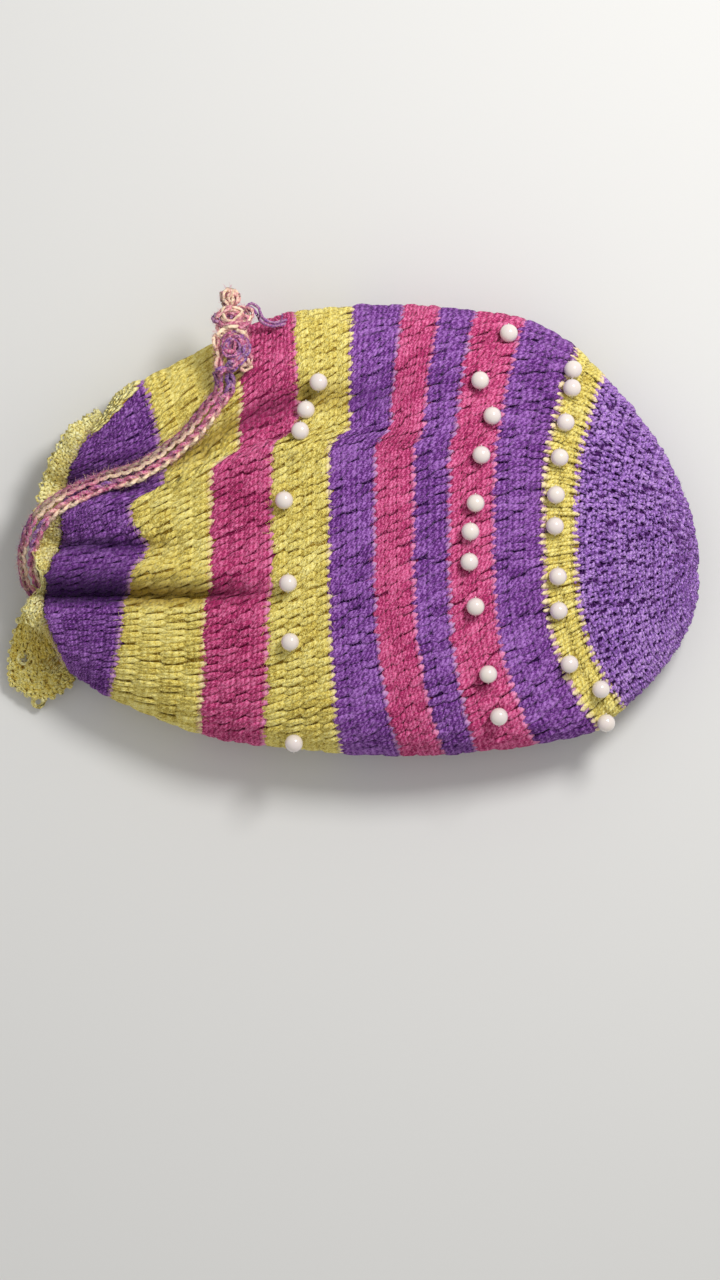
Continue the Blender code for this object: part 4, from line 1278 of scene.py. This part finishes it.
# The knot: both ends of the drawstring tied together in loose loops, drawn up beyond the edge
# of the pouch, and two thin ends of the yarn.
KNOT_ENDS = (
    (0.86, 0.5, (0.10, 0.05, 0.16, 0.44, 0.30, 0.42, 0.24, 0.64, 0.70, 0.56, 0.86, 0.70, 0.86), (
        (-38.2, 48.9, 34.8), (-36.6, 50.8, 36.6), (-34.2, 52.4, 37.4), (-32.5, 55.4, 37.2),
        (-33.2, 58.8, 36.8), (-36.2, 59.9, 37.0), (-38.9, 58.6, 37.2), (-39.4, 55.4, 37.4),
        (-37.2, 53.6, 38.2), (-35.4, 55.8, 37.6), (-36.6, 58.4, 35.6), (-37.6, 62.0, 35.4),
        (-35.2, 63.6, 35.8), (-32.2, 63.9, 35.0), (-31.6, 66.8, 33.8), (-34.2, 68.2, 33.4),
        (-36.6, 66.6, 34.2), (-38.2, 69.0, 32.6), (-39.6, 72.2, 31.2), (-38.0, 73.8, 31.0),
        (-36.3, 71.8, 31.6), (-36.9, 68.6, 32.6),
    )),
    (0.86, 0.7, (0.60, 0.80, 0.90, 0.86, 0.80, 0.88, 0.70, 0.55, 0.35, 0.20, 0.05), (
        (-41.9, 48.8, 35.0), (-41.2, 52.0, 35.6), (-41.5, 56.4, 35.4), (-41.4, 60.0, 35.6),
        (-38.6, 61.8, 36.8), (-35.0, 61.5, 37.1), (-32.6, 59.4, 36.0), (-33.8, 56.8, 34.8),
        (-37.8, 59.6, 33.4), (-40.8, 62.4, 33.8), (-41.6, 64.8, 34.2), (-39.2, 66.8, 34.4),
        (-36.4, 65.4, 35.4), (-37.4, 63.4, 35.6), (-40.4, 63.8, 35.0), (-43.0, 65.8, 33.2),
    )),
    (0.90, 0.9, (0.75, 0.90, 0.70, 0.85, 0.35, 0.05, 0.10), (
        (-34.8, 50.0, 36.4), (-32.2, 49.8, 35.8), (-31.4, 52.2, 35.4), (-33.2, 53.6, 36.2),
        (-35.0, 51.8, 37.4), (-37.0, 50.0, 37.6), (-39.8, 49.0, 36.8), (-41.4, 47.6, 35.8),
    )),
    (0.85, 1.2, (0.12, 0.26, 0.08, 0.52, 0.24), (
        (-38.0, 60.4, 35.0), (-36.8, 57.6, 36.2), (-35.2, 54.6, 36.4), (-36.2, 52.6, 36.0),
        (-38.6, 52.0, 36.2),
    )),
    (0.90, 1.0, (0.42, 0.58, 0.80, 0.50, 0.62), (
        (-40.6, 66.6, 33.2), (-38.2, 64.6, 34.4), (-34.6, 65.8, 35.0), (-32.6, 65.0, 35.2),
        (-33.6, 62.4, 36.0), (-36.4, 63.0, 36.2),
    )),
)
LOOSE_ENDS = (
    ((-33.0, 67.6, 33.4), (-31.4, 69.6, 32.6), (-29.0, 68.4, 31.2), (-27.8, 65.4, 29.8),
     (-24.6, 63.9, 28.6), (-20.2, 64.9, 28.0)),
    ((-33.4, 66.6, 33.8), (-31.2, 68.4, 33.0), (-29.8, 66.8, 31.8), (-28.2, 64.2, 30.4),
     (-24.8, 62.8, 29.2), (-20.6, 63.7, 28.4)),
    ((-22.2, 64.2, 28.6), (-21.8, 65.4, 28.8), (-21.7, 66.9, 28.4)),
)
LOOSE_END_RADII = (0.00055, 0.00050, 0.00022)


def in_metres(points):
    return [tuple(value / 1000.0 for value in point) for point in points]


for number, (scale, roll, dye, loops) in enumerate(KNOT_ENDS, 1):
    chain_along(f"knot_{number}", in_metres(loops), scale, roll, dye)
for number, (ends, radius) in enumerate(zip(LOOSE_ENDS, LOOSE_END_RADII), 1):
    bm = bmesh.new()
    yarn_strand(bm, read_route(in_metres(ends), 18), radius, 6)
    for corner in bm.verts:
        corner.co += Vector(draw.normal(0.0, 0.00006, 3))
    mesh = mesh_of("loose_end", bm)
    add_values(mesh, depth=0.9, dye=0.20)
    show(f"loose_end_{number}", mesh, [CORD_YARN], "drawstring_yarn", "drawstring_knot")
# single yarns pulled up in the knot: middle, reach, number of loops, dye from and to
TANGLE_RADIUS = 0.00048
TANGLES = (
    ((-37.6, 65.4, 35.2), (4.6, 3.2, 1.5), 10, 0.30, 0.95),
    ((-36.0, 56.0, 37.2), (4.0, 4.2, 1.2), 10, 0.10, 0.80),
    ((-36.8, 71.2, 32.0), (2.0, 2.6, 0.8), 4, 0.60, 0.95),
    ((-36.4, 61.0, 36.6), (4.2, 1.8, 0.8), 4, 0.80, 1.00),
)
for number, (middle, reach, count, dye_first, dye_last) in enumerate(TANGLES, 1):
    bm = bmesh.new()
    dyes = []
    for _ in range(count):
        angles = 2.0 * pi * draw.random() + np.cumsum(draw.uniform(0.7, 1.5, 6))
        far = draw.uniform(0.35, 1.0, 6)
        spots = np.stack((np.cos(angles) * far, np.sin(angles) * far, draw.uniform(-1.0, 1.0, 6)), 1)
        yarn_strand(bm, read_route((np.array(middle) + spots * reach) / 1000.0, 20), TANGLE_RADIUS)
        dyes.append(draw.uniform(dye_first, dye_last))
    mesh = mesh_of("tangle", bm)
    add_values(mesh, depth=0.92, dye=np.repeat(dyes, len(mesh.vertices) // count))
    show(f"tangle_{number}", mesh, [CORD_YARN], "drawstring_yarn", "drawstring_knot")


# Camera, straight above the pouch as in the photograph, far off so that nothing is stretched.
MM_PER_PIXEL = 0.31
FRAME_WIDTH, FRAME_HEIGHT = 720, 1280
ORIGIN_COLUMN, ORIGIN_ROW = 352.5, 530.0
CAMERA_HEIGHT = 1.8
MIDDLE_HEIGHT = 0.022
SENSOR_HEIGHT = 36.0
camera_data = bpy.data.cameras.new("camera")
camera_data.sensor_fit = "VERTICAL"
camera_data.sensor_height = SENSOR_HEIGHT
frame_tall = FRAME_HEIGHT * MM_PER_PIXEL / 1000.0
camera_data.lens = SENSOR_HEIGHT * (CAMERA_HEIGHT - MIDDLE_HEIGHT) / frame_tall
camera = bpy.data.objects.new("camera", camera_data)
bpy.context.collection.objects.link(camera)
camera.location = (
    (FRAME_WIDTH / 2 - ORIGIN_COLUMN) * MM_PER_PIXEL / 1000.0,
    (ORIGIN_ROW - FRAME_HEIGHT / 2) * MM_PER_PIXEL / 1000.0,
    CAMERA_HEIGHT,
)
bpy.context.scene.camera = camera


# Floor and light: a plain pale floor, a broad soft lamp from the upper right and a pale sky.
FLOOR_COLOUR = screen_colour(214, 213, 210)
FLOOR_SIZE = 3.0
LAMP_SIZE, LAMP_ENERGY, LAMP_PLACE = 0.22, 4.0, (0.28, 0.34, 0.60)
SKY_STRENGTH = 0.58
bm = bmesh.new()
bmesh.ops.create_grid(bm, x_segments=1, y_segments=1, size=FLOOR_SIZE)
floor_mesh = bpy.data.meshes.new("floor")
bm.to_mesh(floor_mesh)
bm.free()
floor_material, _, floor_shader = new_shader("floor", 0.9)
floor_shader.inputs["Base Color"].default_value = FLOOR_COLOUR
floor_shader.inputs["Specular IOR Level"].default_value = 0.2
show("floor", floor_mesh, [floor_material])

lamp_data = bpy.data.lights.new("soft_lamp", "AREA")
lamp_data.shape = "DISK"
lamp_data.size = LAMP_SIZE
lamp_data.energy = LAMP_ENERGY
lamp = bpy.data.objects.new("soft_lamp", lamp_data)
lamp.location = LAMP_PLACE
lamp.rotation_euler = (-lamp.location).to_track_quat("-Z", "Y").to_euler()
bpy.context.collection.objects.link(lamp)

world = bpy.data.worlds.new("sky")
world.use_nodes = True
world.node_tree.nodes["Background"].inputs["Color"].default_value = (1.0, 1.0, 1.0, 1.0)
world.node_tree.nodes["Background"].inputs["Strength"].default_value = SKY_STRENGTH
bpy.context.scene.world = world
bpy.context.scene.view_settings.view_transform = "Standard"
